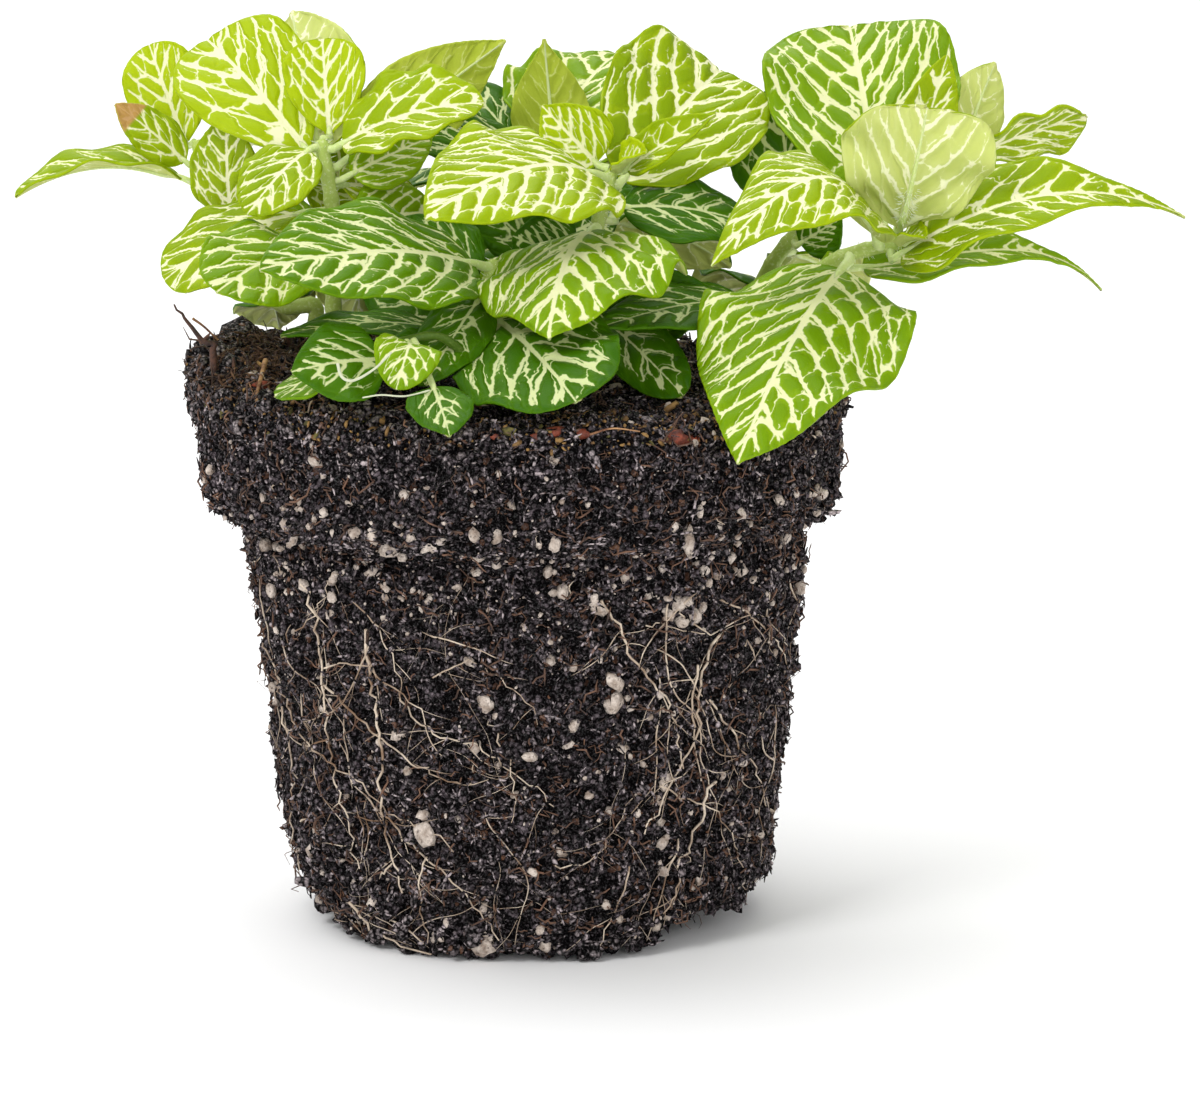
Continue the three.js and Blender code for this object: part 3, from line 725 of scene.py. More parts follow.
# Smaller leaves inside the crown and at its back, which only fill what the large ones leave open.
INNER_LEAF_ROWS = [
    ["inner_1", "left", 0.8, [-17, 0, 137], 12, [0, -8, 6], [1, 1], 0, 0.3, "mid"],
    ["inner_2", "back", 0.9, [2, 33, 150.5], 14, [-1, 8, 3], [1, 1], 0, 0.2, "lime"],
    ["inner_3", "back_left", 0.6, [-38, 18, 134], 16, [1, -8, 5], [1, 1], 0, 0.25, "lime"],
    ["inner_4", "centre", 0.4, [-11, 11, 119], 16, [0, -8, 5], [2, 2], 0, 0.25, "deep"],
    ["inner_5", "back", 0.5, [20, 10, 123], 18, [0, -8, 5], [2, 2], 0, 0.25, "deep"],
    ["inner_6", "right", 0.35, [54, 12, 112], 14, [0, 8, 6], [3, 3], 0, 0.25, "mid"],
    ["inner_7", "left", 0.5, [-51, 4, 121], 14, [-1, -8, 5], [2, 2], 0, 0.25, "mid"],
    ["inner_8", "centre", 0.25, [32, -12, 111], 14, [1, -9, 3], [2, 2], 0, 0.25, "deep"],
    ["inner_9", "front", 0.25, [-22, -10, 110], 14, [-1, -8, 4], [2, 2], 0, 0.25, "deep"],
    ["inner_10", "front", 0.75, [-22, -8, 124], 15, [0, -8, 5], [1, 1], 0, 0.25, "deep"],
    ["inner_11", "back_left", 0.45, [-42, 32, 114], 14, [0, 5, 8], [3, 3], 0, 0.2, "deep"],
    ["inner_12", "back", 0.3, [24, 42, 109], 18, [1, 5, 8], [3, 3], 0, 0.2, "deep"],
    ["inner_13", "back", 0.35, [-8, 44, 110], 17, [0, 5, 8], [3, 3], 0, 0.2, "deep"],
    ["inner_14", "right_back", 0.45, [42, 37, 117], 16, [1, 5, 8], [3, 3], 0, 0.2, "mid"],
    ["inner_15", "far_left", 0.4, [-50, 26, 119], 14, [-1, 4, 8], [3, 3], 0, 0.2, "mid"],
    ["inner_16", "creeping", 0.3, [-26, -34, 104], 12, [0, -7, 7], [2, 2], 0, 0.2, "deep"],
    ["inner_17", "front", 0.45, [-30, -8, 116], 16, [0, -8, 3], [1, 1], 0, 0.25, "deep"],
    ["inner_18", "front", 0.5, [10, -14, 114], 16, [0, -8, 3], [1, 1], 0, 0.25, "deep"],
    ["inner_19", "centre", 0.5, [-3, -10, 121], 16, [0, -8, 3], [1, 1], 0, 0.25, "deep"],
    ["inner_20", "left", 0.62, [-16, -1, 124], 14, [0, -8, 4], [1, 1], 0, 0.25, "mid"],
    ["inner_21", "back_left", 0.45, [-14, 8, 110], 18, [0, -8, 5], [2, 2], 0, 0.25, "deep"],
    ["inner_22", "front", 0.7, [-17, -44, 101], 12, [0, -7, 7], [2, 1], 0, 0.25, "deep"],
    ["inner_23", "centre", 0.2, [-17, -3, 110], 16, [0, -9, 3], [1, 1], 0, 0.25, "deep"],
    ["inner_24", "back", 0.8, [-14, 48, 142], 17, [0, -3, 9], [2, 2], 0, 0.2, "deep"],
    ["rear_1", "back", 0.25, [-6, 58, 99], 23, [0, 8, 6], [7, 6], 0, 0.2, "deep"],
    ["rear_2", "right_back", 0.2, [36, 51, 97], 21, [2, 8, 6], [7, 6], 0, 0.2, "deep"],
    ["rear_3", "back_left", 0.25, [-34, 51, 99], 21, [-2, 8, 6], [7, 6], 0, 0.2, "mid"],
    ["rear_4", "far_left", 0.25, [-46, 37, 98], 15, [-2, 8, 6], [4, 3], 0, 0.2, "deep"],
    ["rear_5", "back", 0.45, [24, 60, 108], 21, [1, 7, 7], [6, 5], 0, 0.2, "mid"],
    ["rear_6", "right_back", 0.35, [58, 45, 100], 17, [2, 7, 6], [5, 4], 0, 0.2, "mid"],
    ["rear_7", "back_left", 0.6, [-46, 50, 113], 19, [-2, 6, 8], [5, 5], 0, 0.2, "lime"],
    ["bud_1", "centre", 1, [20, -13, 135.5], 6, [-1, -6, 8], [1, 1], 0.3, 0.1, "lime"],
    ["bud_2", "right", 1, [67.5, -19, 121.5], 5, [0, -5, 9], [1, 1], 0.3, 0.1, "lime"],
]
# name: how late the blade reaches its width, how blunt its tip is (less is blunter), fold along
# the midrib, curl of the tip, waves of the margin
PLAIN_BLADE = (0.55, 0.82, 0.0, 0.0, 1.0)
LEAF_TOUCHES = {
    "left_1": (0.8, 0.42, 0.05, 0.08, 0.6),
    "left_2": (0.75, 0.42, 0.15, 0.05, 1.0),
    "left_3": (0.55, 0.6, 0.0, 0.0, 1.0),
    "left_4": (0.55, 0.62, 0.2, 0.04, 1.6),
    "left_6": (0.6, 0.95, 0.08, 0.0, 1.0),
    "left_8": (0.6, 0.45, 0.0, 0.0, 1.2),
    "left_9": (0.6, 0.5, 0.0, 0.0, 1.5),
    "far_left_1": (0.6, 0.5, 0.1, 0.0, 1.0),
    "front_1": (0.5, 0.75, -0.05, 0.0, 1.2),
    "front_2": (0.55, 0.55, -0.05, 0.0, 1.2),
    "centre_1": (0.6, 0.38, 0.12, 0.08, 1.6),
    "centre_2": (0.55, 1.0, 0.3, 0.0, 1.0),
    "centre_3": (0.5, 1.0, 0.3, 0.0, 1.0),
    "centre_4": (0.42, 0.8, -0.05, 0.06, 1.2),
    "centre_5": (0.5, 1.0, -0.14, 0.05, 1.8),
    "right_1": (0.6, 0.36, 0.05, 0.1, 1.6),
    "right_2": (0.72, 0.3, 0.0, 0.0, 2.4),
    "right_3": (0.45, 1.5, 0.2, 0.1, 2.0),
    "right_4": (0.45, 1.8, 0.2, 0.05, 1.5),
    "right_5": (0.5, 1.0, -0.1, 0.05, 1.2),
    "right_6": (0.5, 0.95, -0.12, 0.03, 2.6),
    "right_back_2": (0.7, 0.5, 0.2, 0.05, 2.0),
    "far_left_3": (0.6, 0.7, 0.35, 0.05, 1.5),
    "inner_2": (0.5, 1.2, 0.15, 0.0, 1.0),
    "centre_8": (0.5, 0.5, 0.0, 0.0, 1.0),
    "centre_9": (0.5, 0.5, 0.0, 0.0, 1.0),
    "creeping_2": (0.6, 0.5, 0.1, 0.0, 1.0),
    "creeping_3": (0.5, 0.45, 0.0, 0.0, 1.0),
    "rear_1": (0.55, 0.55, -0.05, 0.05, 1.5),
    "rear_2": (0.55, 0.6, -0.1, 0.05, 1.8),
    "rear_3": (0.55, 0.6, 0.05, 0.05, 1.5),
    "rear_5": (0.5, 0.8, -0.1, 0.06, 1.5),
    "bud_1": (0.6, 0.8, 0.5, -0.1, 1.0),
    "bud_2": (0.6, 0.8, 0.5, -0.1, 1.0),
    "back_1": (0.5, 0.7, 0.05, 0.05, 1.5),
}
# leaves whose green in the photograph isn't their group's
# front_1 and creeping_3 take the grown leaf's colours darkened as painted half shade
LOOKS_AS = {
    "centre_1": "lime", "left_8": "lime", "far_left_4": "lime", "right_3": "lime",
    "right_6": "mid", "right_8": "lime", "front_1": "painted_half_shade", "back_1": "mid", "left_9": "mid",
    "creeping_2": "mid", "creeping_3": "painted_half_shade",
}
# how far the youngest leaves' green has gone over to yellow
PALE_LEAVES = {"far_left_1": 1.0, "left_1": 0.7, "left_2": 0.8, "right_8": 0.3, "centre_2": 0.6, "bud_1": 1.0}
WITHERED_TIPS = ["far_left_2"]
# how much closer a leaf's side veins lie than the others' do (under 1: farther apart)
FINE_NETS = {
    "right_6": 1.45, "right_5": 1.35, "right_3": 1.2, "centre_4": 1.2, "left_3": 1.2, "left_4": 1.15,
    "front_1": 1.1, "front_2": 0.9, "creeping_1": 0.8, "creeping_4": 0.8,
}
YOUNG_BACKS = ["left_6", "left_7", "inner_2", "inner_3"]
VEIN_SPACING = 6.2      # mm between side veins on a large leaf
MOST_PAIRS = 9          # of side veins
FEWEST_PAIRS = 5
NET_OFFSET = -0.14      # puts the borders between rows of cells on the side veins
BARE_STALK = 0.4        # share of the stalk that the blade's base leaves bare
SKINS = {"lime": lime_skin, "mid": mid_skin, "painted_half_shade": painted_half_shade_skin, "deep": painted_shade_deep_skin}
CELL = 0.6              # mm between a blade's points
BLADE_THICKNESS = 0.45
TOOTH_SPACING = 1.3     # fine, blunt teeth round the margin
TOOTH_HEIGHT = 0.13


def blade_outline(share, rise, fall):
    """Half of the blade's width at a share of its length, as a share of its widest."""
    share = np.clip(share, 0, 1)
    peak = rise / (rise + fall)
    return (share / peak) ** rise * ((1 - share) / (1 - peak)) ** fall


def rows_of(vectors):
    return vectors / np.linalg.norm(vectors, axis=-1, keepdims=True)


class Midrib:
    """The bent line that a leaf is built on, from its stem to its tip."""

    def __init__(self, base, tip, facing, arch):
        chord = tip - base
        self.across = unit(np.cross(facing, chord))
        normal = unit(np.cross(chord, self.across))
        first = base + chord / 3 + normal * arch[0]
        second = base + 2 * chord / 3 + normal * arch[1]
        self.points = [base, first, second, tip]

    def at(self, t):
        t = np.asarray(t, float)[:, None]
        a, b, c, d = self.points
        return a * (1 - t) ** 3 + 3 * b * t * (1 - t) ** 2 + 3 * c * t * t * (1 - t) + d * t ** 3

    def direction(self, t):
        t = np.asarray(t, float)[:, None]
        a, b, c, d = self.points
        return rows_of(3 * (b - a) * (1 - t) ** 2 + 6 * (c - b) * t * (1 - t) + 3 * (d - c) * t * t)

    def up(self, t):
        return rows_of(np.cross(self.direction(t), self.across))


def leaf_base(line, share, tip):
    """Where the stalk leaves the stem: on the skin on the side that the leaf goes to, and just inside it."""
    axis, along = at_share(line, share)
    reach = tip - axis
    lean = abs(unit(reach) @ along)
    out = unit(reach - along * (reach @ along))
    return axis + out * (STEM_RADIUS + GAP + lean), axis + out * 0.6


def make_leaf(name, stem, share, tip, width, facing, arch, cup, stalk, green, chance, stands_for=()):
    """A blade bent along its midrib and netted with veins, with its stalk and rib under it."""
    belly, blunt, fold, curl, waves = LEAF_TOUCHES.get(name, PLAIN_BLADE)
    stalk *= BARE_STALK
    tip = np.array(tip, float)
    base, root = leaf_base(stem_lines[stem], share, tip)
    rib = Midrib(base, tip, np.array(facing, float), arch)
    full = np.linalg.norm(np.diff(rib.at(np.linspace(0, 1, 40)), axis=0), axis=1).sum()
    length = full * (1 - stalk)
    along_steps = max(30, round(length / CELL))
    across_steps = 2 * max(8, round(width / CELL / 2))

    sheet = fresh("leaf_" + name, bpy.ops.mesh.primitive_grid_add,
                  x_subdivisions=along_steps, y_subdivisions=across_steps, size=2)
    u, side, _ = vertices(sheet.data).T
    s = (1 - np.cos(math.pi * (u + 1) / 2)) / 2
    t = stalk + (1 - stalk) * s
    tooth = TOOTH_HEIGHT * np.abs(np.sin(s * length * math.pi / TOOTH_SPACING)) * smooth_step(0.05, 0.15, s)
    half = np.maximum(width / 2 * blade_outline(s, belly, blunt) + tooth, 0.75 - 0.65 * s)
    x = s * length
    y = half * side
    wide = np.abs(y)

    # side veins start square to the midrib at the base and sweep forward towards the tip
    fineness = FINE_NETS.get(name, 1)
    fewest = round(FEWEST_PAIRS * min(fineness, 1))
    pairs = min(MOST_PAIRS, max(fewest, round(length / VEIN_SPACING * fineness)))
    slope = 0.75 + 0.5 * s
    bend = 0.8 / width
    foot = x - wide * slope - bend * wide ** 2
    shift = chance.uniform(-0.3, 0.3)
    stagger = 0.2 * np.clip(y / 0.8, -1, 1)
    wander = 0.08 * np.sin(wide / 3.1 + chance.uniform(0, 6) + np.sign(y)) * np.clip(wide / 4, 0, 1)
    tau = foot / length * pairs + shift + stagger + wander
    gradient = pairs / length * np.hypot(1 - wide * 0.5 / length, slope + 2 * bend * wide)
    pitch = 1 / gradient
    cell = length / pairs * 1.4
    run = y * np.sqrt(1 + (slope + bend * wide) ** 2) / cell * (1 + 0.4 * np.abs(side))
    start = chance.randint(0, 50)
    row_at = tau + NET_OFFSET
    net = np.column_stack([row_at + start, run + 0.45 * row_at + start * 1.7, pitch])
    size = (width / 30) ** 0.7 * {"lime": 1.1, "mid": 1.05, "deep": 1.0}[green] / fineness ** 0.6
    mid_half = size * (0.78 - 0.52 * s) * (1 if green != "deep" else 0.85)
    veins = np.column_stack([mid_half - wide, tau, pitch])
    zone = np.column_stack([np.abs(side), half - wide, np.full(len(s), size)])

    # the blade sinks at its veins and swells between them, and its edge waves a little
    to_side = np.abs((tau + 0.5) % 1 - 0.5) * pitch
    near = np.minimum(wide, to_side)
    inner = 1 - smooth_step(0.8, 1.0, np.abs(side))
    relief = 0.6 * size * (1 - np.exp(-near / 0.8)) * inner * smooth_step(0, 0.08, s)
    phase = chance.uniform(0, 6)
    wave_length = length / chance.uniform(2.2, 3.4)
    wave = 0.07 * half * np.sin(x / wave_length * 2 * math.pi + phase + (side > 0) * 2.1)
    droop = chance.uniform(-0.02, 0.03) * half
    rise = cup * half * side ** 2 + relief + (waves * wave + droop) * side ** 2 - 0.25
    rise += fold * wide - curl * s ** 3 * length
    place = rib.at(t) + rib.across * y[:, None] + rib.up(t) * rise[:, None]
    set_vertices(sheet.data, place * MM)
    mark(sheet.data, "veins", veins)
    mark(sheet.data, "net", net)
    mark(sheet.data, "zone", zone)
    tint = PALE_LEAVES.get(name, chance.uniform(0, 0.3))
    mark(sheet.data, "tint", tint - (1 + tint) * (name in WITHERED_TIPS) * smooth_step(0.6, 0.85, s))

    under = young_back_skin if name in YOUNG_BACKS else back_skin
    for finish in (SKINS[LOOKS_AS.get(name, green)], under, rib_finish):
        sheet.data.materials.append(finish)
    modify(sheet, "SOLIDIFY", thickness=BLADE_THICKNESS * MM, offset=-1, material_offset=1,
           material_offset_rim=0, use_even_offset=False)

    # stalk and midrib: one tapering strand from inside the stem to near the tip, under the blade
    t_line = np.linspace(0, stalk + (1 - stalk) * 0.96, 40)
    blade_part = np.clip((t_line - stalk) / (1 - stalk), 0, 1)
    thick = 0.85 * np.clip((width / 24) ** 0.4, 0.6, 1.1)
    radii = thick * np.where(t_line < stalk, 1.0 - 0.15 * t_line / stalk, 0.85 - 0.66 * blade_part ** 0.6)
    sink = smooth_step(0, 0.12, blade_part) * (radii + 0.32)
    sink += 0.1 + curl * blade_part ** 3 * length
    line = rib.at(t_line) - rib.up(t_line) * sink[:, None]
    line = np.vstack([root, line])
    radii = np.concatenate([[radii[0] * 1.1], radii])
    stalk_piece = strands("stalk_" + name, [(line, radii)], 3)
    stalk_piece.data.materials.append(rib_finish)
    choose(stalk_piece, sheet)
    bpy.ops.object.join()
    return part_of_plant(sheet, None, "leaf_" + green, *stands_for)


def make_leaves():
    for number, row in enumerate(LEAF_ROWS):
        make_leaf(*row, random.Random(100 + number), ["leaf_" + row[0]])
    for number, row in enumerate(INNER_LEAF_ROWS):
        make_leaf(*row, random.Random(200 + number))


# ---------------------------------------------------------------------------
# What sits on the root ball
# ---------------------------------------------------------------------------
def scatter(name, shapes, places, finish, smooth=True):
    """One piece of many small copies of some shapes.

    A place is its shape's number, its point, its size, the way out, the way along, how much it is
    stretched along, and its shade.
    """
    all_points, all_faces, shades = [], [], []
    count = 0
    for which, at, size, out, along, stretch, shade in places:
        points, faces = shapes[which]
        side = unit(np.cross(out, along))
        forward = np.cross(side, out)
        turned = (points[:, :1] * forward * stretch + points[:, 1:2] * side + points[:, 2:] * out)
        all_points.append(at + turned * size)
        all_faces.append(faces + count)
        shades.append(np.full(len(points), shade))
        count += len(points)
    mesh = bpy.data.meshes.new(name)
    points = np.vstack(all_points) * MM
    points[:, 2] = np.maximum(points[:, 2], 0)
    faces = np.vstack(all_faces)
    mesh.vertices.add(len(points))
    mesh.vertices.foreach_set("co", points.ravel())
    mesh.loops.add(faces.size)
    mesh.loops.foreach_set("vertex_index", faces.ravel())
    mesh.polygons.add(len(faces))
    mesh.polygons.foreach_set("loop_start", np.arange(0, faces.size, 3))
    mesh.update(calc_edges=True)
    mesh.validate()
    mark(mesh, "shade", np.concatenate(shades))
    made = bpy.data.objects.new(name, mesh)
    bpy.context.scene.collection.objects.link(made)
    part_of_plant(made, [finish], "potting_soil", smooth=smooth)


def lump_shapes(name, count, divisions, roughness):
    """Small irregular lumps: icospheres whose points are pushed in and out, as plain arrays."""
    shapes = []
    for number in range(count):
        lump = fresh(name, bpy.ops.mesh.primitive_ico_sphere_add, subdivisions=divisions, radius=1)
        place = vertices(lump.data)
        pick = random.Random(number)
        squash = np.array([pick.uniform(0.8, 1.2), pick.uniform(0.7, 1.0), pick.uniform(0.6, 0.95)])
        push = np.array([pick.uniform(1 - roughness, 1 + roughness) for _ in place])
        set_vertices(lump.data, place * squash * push[:, None])
        faces = np.array([list(face.vertices) for face in lump.data.polygons])
        shapes.append((vertices(lump.data), faces))
        bpy.data.objects.remove(lump)
    return shapes


class BallSkin:
    """The finished surface of the root ball, to set things on."""

    def __init__(self, ball):
        mesh = ball.data
        points = vertices(mesh) / MM
        mesh.calc_loop_triangles()
        faces = np.array([list(t.vertices) for t in mesh.loop_triangles])
        self.tree = BVHTree.FromPolygons(points.tolist(), faces.tolist())
        corners = points[faces]
        cross = np.cross(corners[:, 1] - corners[:, 0], corners[:, 2] - corners[:, 0])
        self.area = np.linalg.norm(cross, axis=1) / 2
        self.normals = cross / (2 * self.area[:, None] + 1e-9)
        self.centres = corners.mean(1)
        # the ball's shade attribute: painted light and shade by relief, read back per face as how far the
        # peat stands out
        raised = np.empty(len(mesh.vertices))
        mesh.attributes["shade"].data.foreach_get("value", raised)
        self.raised = raised[faces].mean(1)

    def hit(self, start, way):
        """The first surface point on a line, or None beside the ball."""
        point = self.tree.ray_cast(Vector(start), Vector(way))[0]
        return None if point is None else np.array(point)

    def side(self, around, height):
        """The surface point at an angle from the front and a height, and the way out there."""
        out = np.array([math.sin(around), -math.cos(around), 0])
        start = np.array([leaning(height), 0, height]) + out * 90
        return self.hit(start, -out), out

    def seen(self, px, py):
        """The surface point that the camera sees at a pixel, or None beside the ball."""
        return self.hit(camera_place, sight_line(px, py))

    def pick_faces(self, rng, count, weight):
        """Faces drawn at random, by their area and weight."""
        share = self.area * weight
        return rng.choice(len(share), size=count, p=share / share.sum())


def outward(point):
    """The way out of the ball at a point of it: sideways on its flank, up on its top."""
    flank = np.array([point[0] - leaning(point[2]), point[1], 0])
    if np.hypot(flank[0], flank[1]) < 52 and point[2] > 92:
        return np.array([0, 0, 1.0])
    return unit(flank)


FOOT_LIP = 7             # under this height, and beside the collar's lower edge, things lie nearly level
COLLAR_LIP = (70, 78)


def lying(rng, out, height):
    """A random way along the ball's skin, nearly level beside the lips of the collar and the foot."""
    way = rng.normal(0, 1, 3)
    if height < FOOT_LIP or COLLAR_LIP[0] < height < COLLAR_LIP[1]:
        way[2] *= 0.12
    return unit(way - out * (way @ out))


def tumbled(rng, kinds, at, size, out, tilt, stretches):
    """A place for a lump of any kind that lies anyhow, tilted a little from the way out."""
    return (rng.integers(kinds), at, size, unit(out + rng.normal(0, tilt, 3)), rng.normal(0, 1, 3),
            rng.uniform(*stretches), rng.uniform(0, 1))


CRUMBS = 26400
SPLIT_SHARE = 0.75       # share of the crumbs that are thin bits of fibre
CLODS = 330
# clods on the mound that the photograph shows: their pixel, and their radius in mm
SEEN_CLODS = [
    (206, 331, 2.6), (215, 334, 2.2), (226, 338, 2.0), (240, 341, 1.8), (274, 333, 2.4), (289, 334, 2.2),
    (199, 340, 1.8),
]


def make_crumbs(skin, rng):
    """Crumbs of peat, 0.3 to 2 mm, most of them thin bits of fibre up to 5 mm long, all over the ball."""
    shapes = lump_shapes("crumb", 8, 1, 0.3)
    on_clods = 0.2 + smooth_step(-0.1, 0.35, skin.raised)
    places = []
    for face in skin.pick_faces(rng, CRUMBS, (skin.centres[:, 2] > 1.2) * on_clods):
        size = min(0.27 * math.exp(rng.normal(0.2, 0.4)), 1.1)
        stretch = rng.choice([1.0, 1.6, 2.6]) * rng.uniform(0.8, 1.2)
        out, tilt = skin.normals[face], 0.6
        if rng.random() < SPLIT_SHARE:
            size = min(0.6 * size, 0.26)
            stretch = rng.uniform(4, 9)
            out, tilt = outward(skin.centres[face]), 0.12
        at = skin.centres[face] + out * size * rng.uniform(0.0, 1.0)
        # a random tone, plus painted light where the ball's peat stands out beneath the crumb
        shade = 1.8 * rng.beta(0.7, 3.0) - 0.13 + 0.3 * skin.raised[face]
        places.append((rng.integers(len(shapes)), at, size, unit(out + rng.normal(0, tilt, 3)),
                       lying(rng, out, skin.centres[face, 2]), stretch, shade))
    for part in range(3):
        scatter(f"peat_crumbs_{part + 1}", shapes, places[part::3], crumb_finish, smooth=False)


def make_clods(skin, rng):
    """Clods of 1 to 6 mm along the broken rim, round the foot and on the mound."""
    shapes = lump_shapes("clod", 6, 2, 0.18)
    x, y, z = skin.centres.T
    on_mound = np.hypot(x + 48, y - 2) < 18
    rim = (z > 90) * (np.hypot(x - BALL_LEAN, y) > 48) * (0.4 + 4 * on_mound)
    foot = (z > 0.8) * (z < 5) * (np.hypot(x, y) > 36) * 0.7
    places = []
    for face in skin.pick_faces(rng, CLODS, rim + foot):
        size = rng.uniform(0.7, 2.0)
        out = unit(skin.normals[face] + rng.normal(0, 0.4, 3))
        places.append((rng.integers(len(shapes)), skin.centres[face] + out * size * 0.25, size, out,
                       rng.normal(0, 1, 3), rng.uniform(0.9, 1.6), rng.uniform(-0.1, 0.3)))
    for px, py, radius in SEEN_CLODS:
        at = skin.seen(px, py)
        if at is not None:
            places.append((rng.integers(len(shapes)), at + [0, 0, radius * 0.5], radius, rng.normal(0, 1, 3),
                           rng.normal(0, 1, 3), rng.uniform(1, 1.5), rng.uniform(-0.1, 0.2)))
    scatter("peat_clods", shapes, places, crumb_finish, smooth=False)


PERLITE_GRAINS = 1900
PERLITE_SPECKS = 1500
PIXELS_PER_MM = FOCAL_PIXELS / DISTANCE
# perlite grains that the photograph shows: their pixel, and their radius in pixels
SEEN_PERLITE = [
    (264, 545, 8), (372, 573, 6), (385, 620, 5), (293, 632, 4), (334, 575, 5), (405, 495, 6), (315, 462, 6),
    (283, 462, 4), (245, 425, 6), (484, 702, 10), (474, 745, 9), (469, 660, 8), (550, 660, 9), (573, 725, 8),
    (615, 703, 10), (678, 605, 9), (694, 616, 9), (670, 614, 7), (688, 603, 7), (702, 608, 6), (684, 621, 7),
    (742, 570, 10), (718, 577, 5), (757, 640, 5), (622, 748, 7), (555, 545, 6), (539, 545, 4), (424, 835, 11),
    (318, 832, 9), (478, 943, 12), (484, 908, 7), (560, 850, 9), (554, 832, 6), (610, 812, 7), (661, 800, 5),
    (668, 777, 6), (590, 795, 5), (498, 765, 4), (660, 695, 5), (728, 790, 5), (748, 832, 6), (755, 812, 5),
    (606, 905, 5), (700, 880, 4), (345, 795, 5), (387, 790, 4), (330, 700, 5), (305, 745, 4), (275, 630, 4),
    (405, 935, 5), (540, 930, 7), (600, 660, 5), (690, 530, 6), (720, 525, 5), (780, 500, 6), (515, 795, 4),
    (398, 735, 6), (432, 548, 5), (650, 595, 5), (322, 476, 4), (349, 502, 5), (360, 507, 3), (283, 509, 4),
    (297, 509, 5), (262, 497, 4), (285, 525, 6), (308, 526, 4), (322, 512, 6), (333, 533, 5), (372, 536, 7),
    (388, 548, 10), (410, 539, 7), (424, 548, 7), (441, 540, 8), (474, 536, 6), (291, 541, 6), (280, 548, 4),
    (499, 537, 4), (515, 534, 3), (555, 459, 5),
]


def make_perlite(skin, rng):
    """Perlite: rounded pale grains, mostly under 2 mm, flush with the peat, and specks of its dust."""
    shapes = lump_shapes("perlite grain", 8, 2, 0.2)
    places = []
    for px, py, radius in SEEN_PERLITE:
        at = skin.seen(px, py)
        if at is None:
            continue
        size = radius / PIXELS_PER_MM
        out = outward(at)
        places.append(tumbled(rng, len(shapes), at - out * size * 0.25, size, out, 0.25, (0.9, 1.3)))
    # most grains lie just under the collar, where the pot's step caught them
    up = skin.centres[:, 2]
    shown = (up > 2) * np.where(up > 93, 0.35, 1.0) * (1 + 3.0 * np.exp(-((up - 66) / 7) ** 2))
    for face in skin.pick_faces(rng, PERLITE_GRAINS, shown):
        size = min(0.29 * math.exp(rng.normal(0.35, 0.55)), 1.25)
        out = outward(skin.centres[face])
        at = skin.centres[face] + out * size * rng.uniform(-0.3, 0.3)
        places.append(tumbled(rng, len(shapes), at, size, out, 0.4, (0.9, 1.4)))
    scatter("perlite_grains", shapes, places, perlite_finish)

    specks = lump_shapes("perlite speck", 4, 1, 0.2)
    places = []
    for face in skin.pick_faces(rng, PERLITE_SPECKS, shown):
        out = skin.normals[face]
        size = 0.12 * math.exp(rng.normal(0.2, 0.35))
        which = rng.integers(len(specks))
        at = skin.centres[face] + out * (size + rng.uniform(0, 0.5))
        places.append((which, at, size, out, rng.normal(0, 1, 3), rng.uniform(0.9, 1.4), rng.uniform(0, 1)))
    scatter("perlite_dust", specks, places, perlite_finish)


FEWEST_POINTS = 5        # a root with fewer than these isn't made


def lay_on_ball(skin, route, lift):
    """A line of (angle, height) laid on the ball's flank, bridging its small pits."""
    found = [skin.side(around, height) for around, height in route]
    kept = next((i for i, (point, _) in enumerate(found) if point is None), len(found))
    if kept < FEWEST_POINTS:
        return None
    route, found = route[:kept], found[:kept]
    reach = np.array([math.hypot(point[0] - leaning(height), point[1])
                      for (point, _), (_, height) in zip(found, route)])
    padded = np.pad(reach, 1, mode="edge")
    tops = np.maximum(np.maximum(padded[:-2], padded[2:]), padded[1:-1])
    tops = 0.5 * tops + 0.5 * reach
    padded = np.pad(tops, 1, mode="edge")
    tops = (padded[:-2] + 2 * padded[1:-1] + padded[2:]) / 4
    return np.array([np.array([leaning(height), 0, height]) + out * (radius + lift)
                     for (_, height), radius, (_, out) in zip(route, tops, found)])


FLANK_RADIUS = 48        # turns a step sideways into an angle


def root_walk(rng, around, height, heading, length, step=1.3):
    """A wandering way down the flank, as (angle, height) pairs. A heading of 0 is straight down."""
    route = [(around, height)]
    turn = 0.0
    for _ in range(int(length / step)):
        turn = 0.6 * turn + rng.normal(0, 0.09)
        heading = heading * 0.995 + turn
        around += math.sin(heading) * step / FLANK_RADIUS
        height -= math.cos(heading) * step
        if height < 1.2 or height > 88:
            break
        route.append((around, height))
    return route


